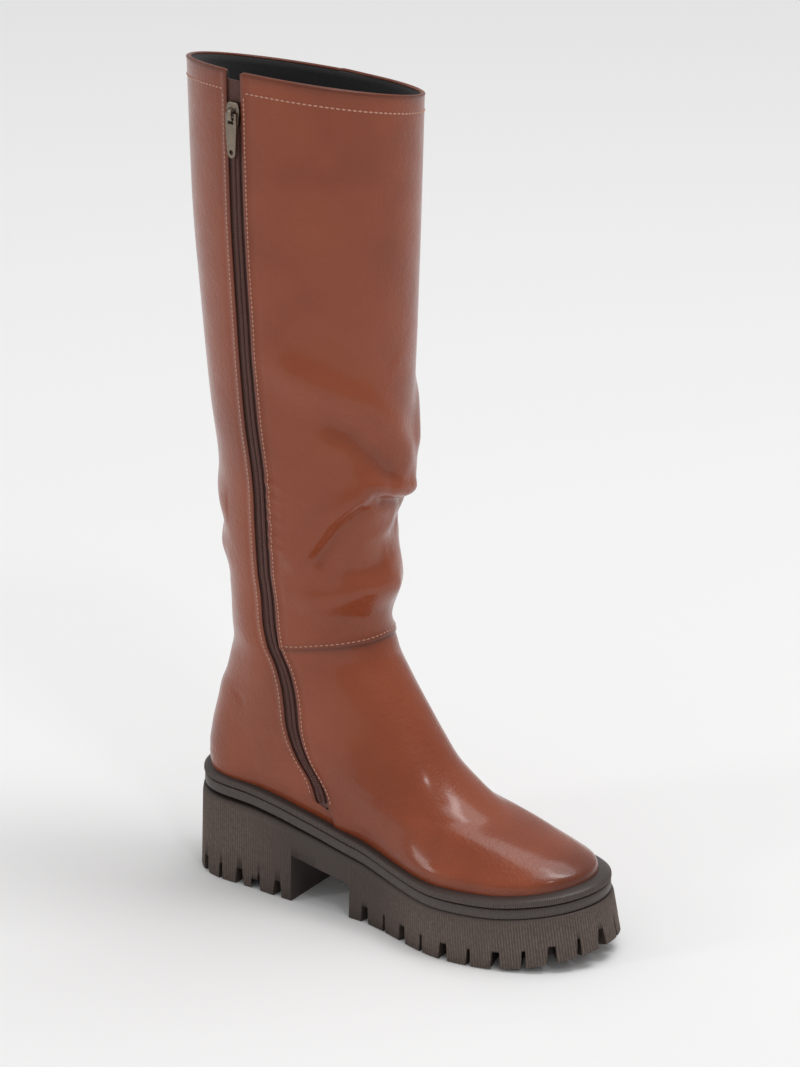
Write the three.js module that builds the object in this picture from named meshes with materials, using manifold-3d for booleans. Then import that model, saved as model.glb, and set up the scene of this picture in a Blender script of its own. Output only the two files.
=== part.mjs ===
// A knee-high boot for a left foot: a lugged unit sole with a block heel, a midsole band, a ribbed welt,
// one hollow upper from the sole to the collar, an insole, a zip up the inner side and a plain metal plate.
// Millimetres. +X points to the toe, +Y to the outer side of the leg and +Z up. The origin is on the floor,
// under the middle of the boot's box. In the tables below, x is counted from the back edge of the heel.
import * as THREE from "three";
import Module from "manifold-3d";
import { mergeVertices } from "three/addons/utils/BufferGeometryUtils.js";

const wasm = await Module();
wasm.setup();

// ---- Driving sizes ----
const SOLE_LENGTH = 270;
const RING_POINTS = 56; // points round every section of sole and upper
const GAP = 0.35; // clearance between pieces that touch
const WALL = 1.8; // leather and lining together
const MIDSOLE_BAND = { heel: 8.5, fore: 6 };
const WELT_HEIGHT = 5.2;
const INSOLE_THICKNESS = 3;

// ---- Smooth curves through tables ----
// Monotone cubic through the rows of a table, held level past both ends.
function curveThrough(rows, from, to) {
  const xs = rows.map((row) => row[from]);
  const ys = rows.map((row) => row[to]);
  const last = xs.length - 1;
  const slope = xs.slice(0, last).map((x, i) => (ys[i + 1] - ys[i]) / (xs[i + 1] - x));
  const tangent = xs.map((_, i) => {
    if (i === 0 || i === last) return slope[Math.min(i, last - 1)];
    const [before, after] = [slope[i - 1], slope[i]];
    return before * after <= 0 ? 0 : (2 * before * after) / (before + after);
  });
  return (x) => {
    if (x <= xs[0]) return ys[0];
    if (x >= xs[last]) return ys[last];
    const i = xs.findIndex((_, k) => x < xs[k + 1]);
    const h = xs[i + 1] - xs[i];
    const s = (x - xs[i]) / h;
    const rise = tangent[i] * h * s * (1 - s) ** 2 - tangent[i + 1] * h * s ** 2 * (1 - s);
    return ys[i] + (ys[i + 1] - ys[i]) * s ** 2 * (3 - 2 * s) + rise;
  };
}

// Top of the midsole, where upper and insole sit: high seat, falling waist, flat ball and toe spring.
const SEAT_PROFILE = [
  { x: 0, height: 59 },
  { x: 30, height: 58.5 },
  { x: 60, height: 56 },
  { x: 90, height: 50 },
  { x: 120, height: 42.5 },
  { x: 150, height: 37 },
  { x: 185, height: 34.5 },
  { x: 215, height: 35 },
  { x: 245, height: 38 },
  { x: 270, height: 42 },
];
const seatHeight = curveThrough(SEAT_PROFILE, "x", "height");
const bandThickness = curveThrough(
  [
    { x: 40, band: MIDSOLE_BAND.heel },
    { x: 160, band: MIDSOLE_BAND.fore },
  ],
  "x",
  "band",
);
const partingHeight = (x) => seatHeight(x) - bandThickness(x) - GAP;

// ---- Plan sections ----
// Centre line of a left foot's last: straight at heel and waist, then ball and toe lie to the inner side.
const CENTRE_LINE = [
  { along: 0.2, aside: 0 },
  { along: 0.45, aside: 0.5 },
  { along: 0.72, aside: -4 },
  { along: 1, aside: -4 },
];
const centreLine = curveThrough(CENTRE_LINE, "along", "aside");

// A point of a plan section at an angle: 0 is the toe, a quarter turn the outer side, a half turn the heel.
// The half widths are given a fifth, nine twentieths and about seven tenths of the way along the section.
function planPoint(section, angle) {
  const along = (1 + Math.cos(angle)) / 2;
  const length = section.front - section.back;
  const fullness = curveThrough(
    [
      { along: 0, full: Math.sqrt((section.backRadius * length) / 2) },
      { along: 0.2, full: section.heel / 0.8 },
      { along: 0.45, full: section.waist / 0.995 },
      { along: 0.72, full: section.ball / 0.898 },
      { along: 1, full: Math.sqrt((section.frontRadius * length) / 2) },
    ],
    "along",
    "full",
  );
  const x = section.back + length * along;
  const y = section.sway * centreLine(along) + Math.sin(angle) * fullness(along);
  return { x, y, along };
}

const TREAD_OUTLINE = {
  back: 0, front: 270, heel: 35, waist: 38.5, ball: 51.5, backRadius: 39, frontRadius: 36, sway: 1,
};
const PARTING_OUTLINE = {
  back: 1.5, front: 265, heel: 34, waist: 37, ball: 49.5, backRadius: 38, frontRadius: 35, sway: 1,
};
const BAND_OUTLINE = {
  back: 2.5, front: 264, heel: 33, waist: 36, ball: 48.5, backRadius: 37, frontRadius: 34, sway: 1,
};
const WELT_OUTLINE = {
  back: 2, front: 264, heel: 33.5, waist: 36.5, ball: 49, backRadius: 37, frontRadius: 34.5, sway: 1,
};

// Named columns for the short tables below: the first row names them.
const table = ([names, ...rows]) =>
  rows.map((row) => Object.fromEntries(names.map((name, i) => [name, row[i]])));

// Sections of the upper, from the feather edge to the collar. level names the section; zBack and zFront are its
// heights at heel and front, follow says how far it bends with the seat profile between them, sway how far it
// bends with the foot's centre line, and lift the inner side's rise for each millimetre of half width.
const UPPER_SECTIONS = table([
  ["level", "zBack", "zFront", "follow", "back", "front", "heel", "waist", "ball", "backRadius", "frontRadius",
    "sway", "lift"],
  [48, 59, 40, 1, 7, 257.5, 28.5, 31, 43, 33, 29, 1, 0],
  [60, 71, 50, 1, 5.5, 256, 30.5, 33, 43.5, 33, 27, 1, 0],
  [66, 78, 55, 1, 5.5, 246.5, 31, 34, 39.5, 32, 25, 1, 0],
  [72, 85, 59.5, 0.9, 6.5, 232, 31, 34, 35.5, 31, 24, 1, 0],
  [77, 91, 64, 0.8, 7.5, 215, 30.5, 34, 33.5, 30.5, 23, 1, 0],
  [82, 97, 69, 0.7, 9, 196, 30, 33.5, 31, 30, 20, 1, 0],
  [90, 105, 77, 0.5, 11, 182, 29.5, 33.5, 30, 29, 20, 0.7, 0],
  [100, 114, 88, 0.35, 13, 168, 29, 33, 29, 28, 19, 0.6, 0],
  [112, 124, 102, 0.2, 17, 156.5, 29, 33, 28.5, 27, 19, 0.4, 0],
  [124, 135, 116, 0.1, 20, 146.5, 29.5, 33, 28.5, 27, 20, 0.3, 0],
  [138, 147, 132, 0, 22.5, 134.5, 30, 33.5, 29, 27, 21, 0.2, 0],
  [152, 158, 148, 0, 22, 124, 31, 35, 31, 28, 24, 0, 0],
  [166, 170, 163, 0, 22, 121, 32, 37, 33, 29, 27, 0, 0],
  [182, 185, 180, 0, 21, 123, 33, 39, 35.5, 31, 29, 0, 0],
  [198, 200, 196, 0, 18.5, 125.5, 34.5, 41.5, 37.5, 33, 31, 0, 0],
  [224, 225, 222, 0, 17, 129, 37, 44.5, 40, 35, 33, 0, 0],
  [252, 253, 250, 0, 16.5, 132, 38.5, 47.5, 43, 37, 37, 0, 0],
  [290, 291, 288, 0, 12, 131, 40.5, 50, 45, 39, 39, 0, 0],
  [340, 342, 338, 0, 7.5, 132.5, 42.5, 52.5, 47.5, 42, 42, 0, 0.03],
  [400, 403, 398, 0, 2.5, 134.5, 43.5, 54, 49, 43, 43, 0, 0.1],
  [470, 476, 470, 0, 0.5, 136.5, 44, 55, 49.5, 44, 44, 0, 0.2],
]);
const COLUMNS = Object.keys(UPPER_SECTIONS[0]).filter((name) => name !== "level");
const upperColumn = Object.fromEntries(
  COLUMNS.map((name) => [name, curveThrough(UPPER_SECTIONS, "level", name)]),
);
const FEATHER_LEVEL = UPPER_SECTIONS[0].level;
const COLLAR_LEVEL = UPPER_SECTIONS.at(-1).level;

// Soft folds of the shaft: each is a trough, or a ridge where its depth is negative, centred on a level and an
// angle, with a reach up the shaft and a spread round it.
const FOLDS = [
  { level: 224, degrees: 12, depth: 9, reach: 17, spread: 52 },
  { level: 168, degrees: 20, depth: 2.5, reach: 9, spread: 60 },
];

function foldDepth(angle, level) {
  return FOLDS.reduce((sum, { level: middle, degrees, depth, reach, spread }) => {
    const turn = THREE.MathUtils.euclideanModulo(THREE.MathUtils.radToDeg(angle) - degrees + 180, 360) - 180;
    return sum + depth * Math.exp(-(((level - middle) / reach) ** 2) - (turn / spread) ** 2);
  }, 0);
}

function upperSection(level) {
  return Object.fromEntries(COLUMNS.map((name) => [name, upperColumn[name](level)]));
}

// A point of the upper's outer face.
function upperPoint(angle, level, section = upperSection(level)) {
  const outline = planPoint(section, angle);
  const along = outline.along;
  const fold = foldDepth(angle, level);
  const x = outline.x - fold * Math.cos(angle);
  const y = outline.y - fold * Math.sin(angle);
  const seatChord = THREE.MathUtils.lerp(seatHeight(section.back), seatHeight(section.front), along);
  const chord = THREE.MathUtils.lerp(section.zBack, section.zFront, along);
  return new THREE.Vector3(x, y, chord + section.follow * (seatHeight(x) - seatChord) - section.lift * y);
}

// The outward normal there, from two short steps along the surface.
function upperNormal(angle, level) {
  const step = { angle: 0.01, level: 0.5 };
  const middle = THREE.MathUtils.clamp(level, FEATHER_LEVEL + step.level, COLLAR_LEVEL - step.level);
  const [low, high] = [middle - step.level, middle + step.level];
  const round = upperPoint(angle + step.angle, level).sub(upperPoint(angle - step.angle, level));
  const up = upperPoint(angle, high).sub(upperPoint(angle, low));
  return round.cross(up).normalize();
}

// A point under the outer face by a depth; a negative depth stands proud.
function underUpper(angle, level, depth) {
  return upperPoint(angle, level).addScaledVector(upperNormal(angle, level), -depth);
}

// ---- Solids from rings ----
const ANGLES = Array.from({ length: RING_POINTS }, (_, i) => (2 * Math.PI * i) / RING_POINTS);
const ringOf = (pointAt) => ANGLES.map(pointAt);

// Skins a stack of rings. A hollow stack joins its last ring to its first; otherwise both ends are closed by
// rungs from one side of the ring to the other, so that an end keeps its curve along the foot.
function skinRings(rings, hollow) {
  const count = rings[0].length;
  const faces = [];
  const spans = hollow ? rings.length : rings.length - 1;
  for (let j = 0; j < spans; j++) {
    const low = j * count;
    const high = ((j + 1) % rings.length) * count;
    for (let i = 0; i < count; i++) {
      const next = (i + 1) % count;
      faces.push(low + i, low + next, high + next, low + i, high + next, high + i);
    }
  }
  if (!hollow) {
    const top = (rings.length - 1) * count;
    for (let i = 0; i < count / 2; i++) {
      const rung = [(count - i) % count, i, i + 1, count - i - 1];
      for (const [a, b, c] of [[0, 1, 2], [0, 2, 3]]) {
        const corners = [rung[a], rung[b], rung[c]];
        if (new Set(corners).size < 3) continue;
        faces.push(...corners.map((k) => top + k), ...corners.reverse());
      }
    }
  }
  const geometry = new THREE.BufferGeometry();
  const corners = rings.flat().flatMap((point) => point.toArray());
  geometry.setAttribute("position", new THREE.Float32BufferAttribute(corners, 3));
  geometry.setIndex(faces);
  return geometry;
}

// ---- Joining and cutting ----
function toSolid(geometry) {
  const bare = geometry.clone();
  bare.deleteAttribute("normal");
  bare.deleteAttribute("uv");
  const merged = mergeVertices(bare, 1e-4);
  return new wasm.Manifold(
    new wasm.Mesh({
      numProp: 3,
      vertProperties: merged.attributes.position.array,
      triVerts: new Uint32Array(merged.index.array),
    }),
  );
}

function toGeometry(solid) {
  const mesh = solid.getMesh();
  const geometry = new THREE.BufferGeometry();
  geometry.setAttribute("position", new THREE.BufferAttribute(new Float32Array(mesh.vertProperties), 3));
  geometry.setIndex(new THREE.BufferAttribute(new Uint32Array(mesh.triVerts), 1));
  return geometry;
}

// ---- Outsole: unit sole with heel block, arch and lugs ----
const HEEL_BREAST = 79;
const TREAD_START = 119;
const ARCH_ROOF = { breast: 28, tread: 21 };
const LUG = { height: 10, reach: 17, wide: 6.5, narrow: 3, foreSpacing: 16, heelSpacing: 13.5 };
const ARCH_CORNER = { before: 6, under: 1, drop: 7 }; // rounding of the arch's roof into the tread's face
const NOTCH_NARROWING = 0.6; // width of a notch's roof as a share of its mouth
const POCKET = { depth: 6, inset: 19, backRadius: 12, frontRadius: 16 };
const HEEL_POCKET = { low: 16, high: HEEL_BREAST - 10, bars: [41] };
const TREAD_POCKET = { low: TREAD_START + 12, high: 246, bars: [152, 180, 208] };
const CROSS_BAR = { length: 9, width: 120, height: 60 };
const BELOW_FLOOR = 3; // how far a cut starts under the tread, so that it goes right through its face
const PAST_EDGE = 8; // and how far outside the sole's edge
const ARCH_CUT = { below: 10, width: 140 };

// Bottom of the tread: flat to the ball, then a toe spring.
const TOE_SPRING = { start: 205, rise: 11 };
function treadHeight(x) {
  const past = Math.max(0, x - TOE_SPRING.start) / (SOLE_LENGTH - TOE_SPRING.start);
  return TOE_SPRING.rise * past ** 2;
}

function soleBlank() {
  const bottom = ringOf((angle) => {
    const { x, y } = planPoint(TREAD_OUTLINE, angle);
    return new THREE.Vector3(x, y, treadHeight(x));
  });
  const top = ringOf((angle) => {
    const { x, y } = planPoint(PARTING_OUTLINE, angle);
    return new THREE.Vector3(x, y, partingHeight(x));
  });
  return toSolid(skinRings([bottom, top], false));
}

function archCut() {
  const side = new THREE.Shape();
  const { before, under, drop } = ARCH_CORNER;
  const corner = ARCH_ROOF.tread - under;
  side.moveTo(HEEL_BREAST, -ARCH_CUT.below);
  side.lineTo(HEEL_BREAST, ARCH_ROOF.breast);
  side.lineTo(TREAD_START - before, ARCH_ROOF.tread);
  side.quadraticCurveTo(TREAD_START, corner, TREAD_START, corner - drop);
  side.lineTo(TREAD_START, -ARCH_CUT.below);
  const cut = new THREE.ExtrudeGeometry(side, { depth: ARCH_CUT.width, bevelEnabled: false, curveSegments: 4 });
  cut.rotateX(Math.PI / 2).translate(0, ARCH_CUT.width / 2, 0);
  return toSolid(cut);
}

// A notch between two lugs: a trapezium, wider at the floor, pushed in from the sole's edge.
function notchCut(edge, inward, width) {
  const mouth = width / 2;
  const shape = new THREE.Shape();
  shape.moveTo(-mouth, -BELOW_FLOOR);
  shape.lineTo(mouth, -BELOW_FLOOR);
  shape.lineTo(mouth * NOTCH_NARROWING, LUG.height);
  shape.lineTo(-mouth * NOTCH_NARROWING, LUG.height);
  const notch = new THREE.ExtrudeGeometry(shape, { depth: LUG.reach + PAST_EDGE, bevelEnabled: false });
  notch.rotateX(Math.PI / 2).translate(0, PAST_EDGE, 0);
  notch.rotateZ(Math.atan2(inward.y, inward.x) + Math.PI / 2);
  return toSolid(notch.translate(edge.x, edge.y, treadHeight(edge.x)));
}

// Points at equal steps along the tread's edge where its x lies in a range.
function edgeSteps(spacing, low, high) {
  const fine = 720;
  const points = Array.from({ length: fine + 1 }, (_, i) => {
    const { x, y } = planPoint(TREAD_OUTLINE, (2 * Math.PI * (i + 0.5)) / fine);
    return new THREE.Vector2(x, y);
  });
  const lengths = points.map((p, i) => (i ? p.distanceTo(points[i - 1]) : 0));
  const total = lengths.reduce((sum, l) => sum + l, 0);
  const count = 2 * Math.round(total / spacing / 2);
  const steps = [];
  let travelled = 0;
  for (let i = 1; i <= fine; i++) {
    const before = Math.floor((travelled / total) * count + 0.5);
    travelled += lengths[i];
    const after = Math.floor((travelled / total) * count + 0.5);
    if (after === before || points[i].x < low || points[i].x > high) continue;
    const along = points[i].clone().sub(points[i - 1]).normalize();
    steps.push({ edge: points[i], inward: new THREE.Vector2(-along.y, along.x), wide: after % 2 === 0 });
  }
  return steps;
}

function lugNotches() {
  const fore = edgeSteps(LUG.foreSpacing, TREAD_START + 6, SOLE_LENGTH);
  const heel = edgeSteps(LUG.heelSpacing, -1, HEEL_BREAST - 7);
  return [...fore, ...heel].map(({ edge, inward, wide }) =>
    notchCut(edge, inward, wide ? LUG.wide : LUG.narrow),
  );
}

// The tread's sunken middle, with cross bars left standing in it.
function pocketCut({ low, high, bars }) {
  const { heel, waist, ball, sway } = TREAD_OUTLINE;
  const { depth, inset, backRadius, frontRadius } = POCKET;
  const widths = { heel: heel - inset, waist: waist - inset, ball: ball - inset };
  const outline = { back: low, front: high, ...widths, backRadius, frontRadius, sway };
  const rim = (heightAt) => ringOf((angle) => {
    const { x, y } = planPoint(outline, angle);
    return new THREE.Vector3(x, y, heightAt(x));
  });
  const roof = rim((x) => treadHeight(x) + depth);
  let pocket = toSolid(skinRings([rim(() => -BELOW_FLOOR), roof], false));
  for (const x of bars) {
    const bar = new THREE.BoxGeometry(CROSS_BAR.length, CROSS_BAR.width, CROSS_BAR.height);
    pocket = pocket.subtract(toSolid(bar.translate(x, 0, 0)));
  }
  return pocket;
}

function outsoleGeometry() {
  let sole = soleBlank().subtract(archCut());
  const cuts = [...lugNotches(), pocketCut(HEEL_POCKET), pocketCut(TREAD_POCKET)];
  for (const cut of cuts) sole = sole.subtract(cut);
  return toGeometry(sole);
}

// ---- Midsole, welt and insole ----
function midsoleGeometry() {
  const ring = (heightAt) => ringOf((angle) => {
    const { x, y } = planPoint(BAND_OUTLINE, angle);
    return new THREE.Vector3(x, y, heightAt(x));
  });
  return skinRings([ring((x) => seatHeight(x) - bandThickness(x)), ring(seatHeight)], false);
}

// Height of the seat's top clearance, where welt, upper and insole all start.
const seatClear = (x) => seatHeight(x) + GAP;

const WELT_ROUNDING = 1.2; // how far the welt's outer edge is lower than its inner edge

function weltGeometry() {
  const outer = (lift) => ringOf((angle) => {
    const { x, y } = planPoint(WELT_OUTLINE, angle);
    return new THREE.Vector3(x, y, seatClear(x) + lift);
  });
  const inner = (lift) => ringOf((angle) => {
    const wall = upperPoint(angle, FEATHER_LEVEL + lift);
    const normal = upperNormal(angle, FEATHER_LEVEL + lift).setZ(0).normalize();
    wall.addScaledVector(normal, GAP + 0.1);
    return wall.setZ(seatClear(wall.x) + lift);
  });
  return skinRings([outer(0), outer(WELT_HEIGHT - WELT_ROUNDING), inner(WELT_HEIGHT), inner(0)], true);
}

function insoleGeometry() {
  const ring = (lift) => ringOf((angle) => {
    const inside = underUpper(angle, FEATHER_LEVEL + lift, WALL + GAP + 0.15);
    return inside.setZ(seatClear(inside.x) + lift);
  });
  return skinRings([ring(0), ring(INSOLE_THICKNESS)], false);
}

// ---- Upper ----
const UPPER_LEVELS = [
  48, 54, 60, 65, 70, 75, 80, 86, 92, 99, 106, 114, 122, 130, 138, 147, 156, 166, 178, 191, 204,
  216, 227, 235, 243, 252, 275, 310, 350, 410, COLLAR_LEVEL,
];

// Section angle of the zip: it runs up the inner side, and is drawn back towards the heel below the ankle.
const ZIP_LINE = [
  { level: 60, degrees: 255 },
  { level: 72, degrees: 257.5 },
  { level: 100, degrees: 261 },
  { level: 130, degrees: 263.5 },
  { level: 170, degrees: 264 },
  { level: 250, degrees: 263.5 },
  { level: COLLAR_LEVEL, degrees: 262 },
];
const zipDegrees = curveThrough(ZIP_LINE, "level", "degrees");
const ZIP = { bottom: 60, slot: 9.5, tape: 24, teeth: 5.6, tapeThickness: 0.8, teethThickness: 1.5 };

// The slider rests closed at the top. Its sizes are in its own frame; bottom and top are heights over the
// upper's outer face, and the bridge leaves a clear height for the pull's bar.
const SLIDER = {
  level: 450, reach: 6.5, shoulder: 4.3, mouth: 3.2, bottom: -WALL - 0.05, top: 1.1,
  bridge: { half: 2.4, clear: 3.3, thickness: 1.2, width: 2.8 },
};
const PULL = { bar: 0.7, thickness: 1.3, eye: { length: 4.6, width: 4 }, length: 24, width: 7.4, tip: 5.4 };
const HINGE_HEIGHT = (SLIDER.top + SLIDER.bridge.clear) / 2;
const PLATE = { level: 447, degrees: 76, width: 25, height: 8, corner: 2, thickness: 0.9 };

// Levels where a strip along the upper has its rings: close together where foot and shaft curve.
const STRIP_LEVELS = [
  60, 66, 72, 79, 87, 96, 106, 117, 130, 144, 160, 180, 198, 214, 230, 240, 252, 275, 310, 350, 410,
];

// A strip that follows the upper up a line of section angles, its width measured across that line, between
// two depths under the outer face.
function surfaceStrip({ degreesAt, widthAt, outer, inner, low, high, across }) {
  const levels = [low, ...STRIP_LEVELS.filter((level) => level > low + 1 && level < high - 1), high];
  return levels.map((level) => {
    const middle = THREE.MathUtils.degToRad(degreesAt(level));
    const turn = 0.01;
    const chord = upperPoint(middle + turn, level).distanceTo(upperPoint(middle - turn, level));
    const at = (aside, depth) => underUpper(middle + (aside * 2 * turn) / chord, level, depth);
    const sides = Array.from({ length: across + 1 }, (_, i) => widthAt(level) * (i / across - 0.5));
    return [...sides.map((s) => at(s, outer)), ...sides.reverse().map((s) => at(s, inner))];
  });
}

// Skins the rings of a strip, whose ends are closed by rungs from its outer row to its inner row.
function skinStrip(rings) {
  const count = rings[0].length;
  const faces = [];
  for (let j = 0; j < rings.length - 1; j++) {
    for (let i = 0; i < count; i++) {
      const next = (i + 1) % count;
      const [a, b] = [j * count + i, j * count + next];
      faces.push(a, b, b + count, a, b + count, a + count);
    }
  }
  const top = (rings.length - 1) * count;
  for (let i = 0; i < count / 2 - 1; i++) {
    const rung = [i, i + 1, count - i - 2, count - i - 1];
    for (const [a, b, c] of [[0, 1, 2], [0, 2, 3]]) {
      const corners = [rung[a], rung[b], rung[c]];
      faces.push(...corners.map((k) => top + k), ...corners.reverse());
    }
  }
  const geometry = new THREE.BufferGeometry();
  const corners = rings.flat().flatMap((point) => point.toArray());
  geometry.setAttribute("position", new THREE.Float32BufferAttribute(corners, 3));
  geometry.setIndex(faces);
  return geometry;
}

function zipRings({ width, ...rest }) {
  return surfaceStrip({ degreesAt: zipDegrees, widthAt: () => width, ...rest });
}

function upperGeometry() {
  const outer = UPPER_LEVELS.map((level) => ringOf((angle) => upperPoint(angle, level)));
  const inner = UPPER_LEVELS.map((level) => ringOf((angle) => underUpper(angle, level, WALL)));
  inner[0].forEach((point, i) => point.setZ(outer[0][i].z));
  outer[0].concat(inner[0]).forEach((point) => point.setZ(seatClear(point.x)));
  const shell = toSolid(skinRings([...outer, ...inner.reverse()], true));
  const depths = { outer: -3, inner: WALL + 2 };
  const slot = zipRings({ width: ZIP.slot, ...depths, low: ZIP.bottom, high: COLLAR_LEVEL, across: 2 });
  slot.push(slot.at(-1).map((point) => point.clone().setZ(point.z + 12)));
  return toGeometry(shell.subtract(toSolid(skinStrip(slot))));
}

// ---- Zip ----

function tapeGeometry() {
  const outer = WALL + GAP + 0.15;
  const inner = outer + ZIP.tapeThickness;
  const ends = { low: ZIP.bottom - 4, high: COLLAR_LEVEL - 6 };
  return skinStrip(zipRings({ width: ZIP.tape, outer, inner, ...ends, across: 4 }));
}

function teethGeometry() {
  const inner = WALL + 0.1;
  const outer = inner - ZIP.teethThickness;
  const high = SLIDER.level - SLIDER.reach - 0.5;
  return skinStrip(zipRings({ width: ZIP.teeth, outer, inner, low: ZIP.bottom + 3, high, across: 2 }));
}

// The slider's own frame on the upper: x across the zip, y up along it and z out of the boot.
function zipFrame(level) {
  const angle = THREE.MathUtils.degToRad(zipDegrees(level));
  const out = upperNormal(angle, level);
  const up = upperPoint(angle, level + 1).sub(upperPoint(angle, level - 1));
  up.addScaledVector(out, -up.dot(out)).normalize();
  const across = up.clone().cross(out);
  return new THREE.Matrix4().makeBasis(across, up, out).setPosition(upperPoint(angle, level));
}

// A plate with this outline in the slider's frame, between two heights over the upper's face.
function plate(outline, low, high) {
  const made = new THREE.ExtrudeGeometry(outline, { depth: high - low, bevelEnabled: false, curveSegments: 5 });
  return made.translate(0, 0, low);
}

// Body that closes the teeth, wider at its shoulders, under a bridge that holds the pull.
function sliderGeometry() {
  const { reach, shoulder, mouth, bottom, top, bridge } = SLIDER;
  const body = new THREE.Shape();
  body.moveTo(-mouth, -reach);
  body.lineTo(mouth, -reach);
  body.lineTo(shoulder, reach * 0.35);
  body.quadraticCurveTo(shoulder, reach, shoulder * 0.35, reach);
  body.lineTo(-shoulder * 0.35, reach);
  body.quadraticCurveTo(-shoulder, reach, -shoulder, reach * 0.35);
  const side = new THREE.Shape();
  const foot = bridge.half + bridge.thickness;
  side.moveTo(-foot, top - 0.3);
  side.lineTo(-foot, bridge.clear - 0.6);
  side.quadraticCurveTo(-foot, bridge.clear + bridge.thickness, 0, bridge.clear + bridge.thickness);
  side.quadraticCurveTo(foot, bridge.clear + bridge.thickness, foot, bridge.clear - 0.6);
  side.lineTo(foot, top - 0.3);
  side.lineTo(bridge.half, top - 0.3);
  side.lineTo(bridge.half, bridge.clear);
  side.lineTo(-bridge.half, bridge.clear);
  side.lineTo(-bridge.half, top - 0.3);
  const arch = new THREE.ExtrudeGeometry(side, { depth: bridge.width, bevelEnabled: false, curveSegments: 4 });
  arch.applyMatrix4(new THREE.Matrix4().set(0, 0, 1, -bridge.width / 2, 1, 0, 0, 0, 0, 1, 0, 0, 0, 0, 0, 1));
  const slider = toSolid(plate(body, bottom, top)).add(toSolid(arch));
  return toGeometry(slider).applyMatrix4(zipFrame(SLIDER.level));
}

// The pull hangs from the bridge by a bar: an eye for the bridge, then a tapered tab with a small hole.
function pullGeometry() {
  const { bar, thickness, eye, length, width, tip } = PULL;
  const outline = new THREE.Shape();
  outline.moveTo(-width / 2, bar);
  outline.lineTo(-width / 2, -eye.length - 3);
  outline.lineTo(-tip / 2, -length + tip / 2);
  outline.absarc(0, -length + tip / 2, tip / 2, Math.PI, 2 * Math.PI, false);
  outline.lineTo(width / 2, -eye.length - 3);
  outline.lineTo(width / 2, bar);
  const opening = new THREE.Path();
  opening.moveTo(-eye.width / 2, -bar);
  opening.lineTo(eye.width / 2, -bar);
  opening.lineTo(eye.width / 2, -bar - eye.length);
  opening.lineTo(-eye.width / 2, -bar - eye.length);
  const hole = new THREE.Path();
  hole.absarc(0, -length + tip / 2 + 0.6, tip / 4, 0, 2 * Math.PI, true);
  outline.holes.push(opening, hole);
  const made = plate(outline, HINGE_HEIGHT - thickness / 2, HINGE_HEIGHT + thickness / 2);
  return made.applyMatrix4(zipFrame(SLIDER.level));
}

// ---- Plain plate on the outer side, near the collar ----
function plateGeometry() {
  const { level, degrees, width, height, corner, thickness } = PLATE;
  const inset = (height - 2 * corner) / 2;
  const widthAt = (at) => width - 2 * Math.max(0, Math.abs(at - level) - inset);
  const row = { degreesAt: () => degrees, widthAt, outer: -GAP - thickness, inner: -GAP, across: 6 };
  const parts = [-1, 1].map((side) => level + side * (height / 2));
  return skinStrip([
    ...surfaceStrip({ ...row, low: parts[0], high: level - inset }),
    ...surfaceStrip({ ...row, low: level + inset, high: parts[1] }),
  ]);
}

// ---- Assembly ----
const FINISHES = {
  rubber: { color: 0x4a3f39, roughness: 0.75, metalness: 0 },
  band: { color: 0x3b3430, roughness: 0.6, metalness: 0 },
  leather: { color: 0x8a4a32, roughness: 0.4, metalness: 0 },
  tape: { color: 0x4e2a22, roughness: 0.9, metalness: 0 },
  teeth: { color: 0x3a1d18, roughness: 0.5, metalness: 0 },
  metal: { color: 0x8b7a68, roughness: 0.35, metalness: 1 },
  board: { color: 0x2a2624, roughness: 0.9, metalness: 0 },
};

const boot = new THREE.Group();
function addPiece(name, geometry, finish) {
  const piece = new THREE.Mesh(geometry, new THREE.MeshStandardMaterial(FINISHES[finish]));
  piece.name = name;
  boot.add(piece);
}

addPiece("outsole", outsoleGeometry(), "rubber");
addPiece("midsole", midsoleGeometry(), "band");
addPiece("welt", weltGeometry(), "band");
addPiece("upper", upperGeometry(), "leather");
addPiece("insole", insoleGeometry(), "board");
addPiece("zip_tape", tapeGeometry(), "tape");
addPiece("zip_teeth", teethGeometry(), "teeth");
addPiece("zip_slider", sliderGeometry(), "metal");
addPiece("zip_pull", pullGeometry(), "metal");
addPiece("side_plate", plateGeometry(), "metal");

const box = new THREE.Box3().setFromObject(boot);
const middle = box.getCenter(new THREE.Vector3());
boot.children.forEach((piece) => piece.position.set(-middle.x, -middle.y, 0));

export default boot;
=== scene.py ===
# %% [markdown]
# # A knee-high leather boot
# The boot stands empty on its own sole. Its measured frame, with zip pull and sole, comes ready made,
# and each soft or moulded piece is rebuilt over it here with its seams, folds, stitches, ribs and
# finishes.

# %% Loading the measured frame
import math

import bmesh
import bpy
import numpy as np
from mathutils import Matrix, Vector


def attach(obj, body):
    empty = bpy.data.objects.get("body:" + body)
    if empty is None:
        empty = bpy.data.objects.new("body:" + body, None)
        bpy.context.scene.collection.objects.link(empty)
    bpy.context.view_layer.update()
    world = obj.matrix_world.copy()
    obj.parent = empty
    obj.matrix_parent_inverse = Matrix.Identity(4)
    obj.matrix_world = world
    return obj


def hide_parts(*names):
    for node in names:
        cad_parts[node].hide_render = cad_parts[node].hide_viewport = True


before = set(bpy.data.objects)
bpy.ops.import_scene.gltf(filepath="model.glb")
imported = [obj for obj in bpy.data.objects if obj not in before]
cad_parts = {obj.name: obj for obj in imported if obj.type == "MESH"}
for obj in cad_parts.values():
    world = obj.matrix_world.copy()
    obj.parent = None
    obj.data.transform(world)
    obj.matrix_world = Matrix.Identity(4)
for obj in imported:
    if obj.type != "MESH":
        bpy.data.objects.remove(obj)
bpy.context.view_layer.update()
scene = bpy.context.scene
print("nodes:", sorted(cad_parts))

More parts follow.
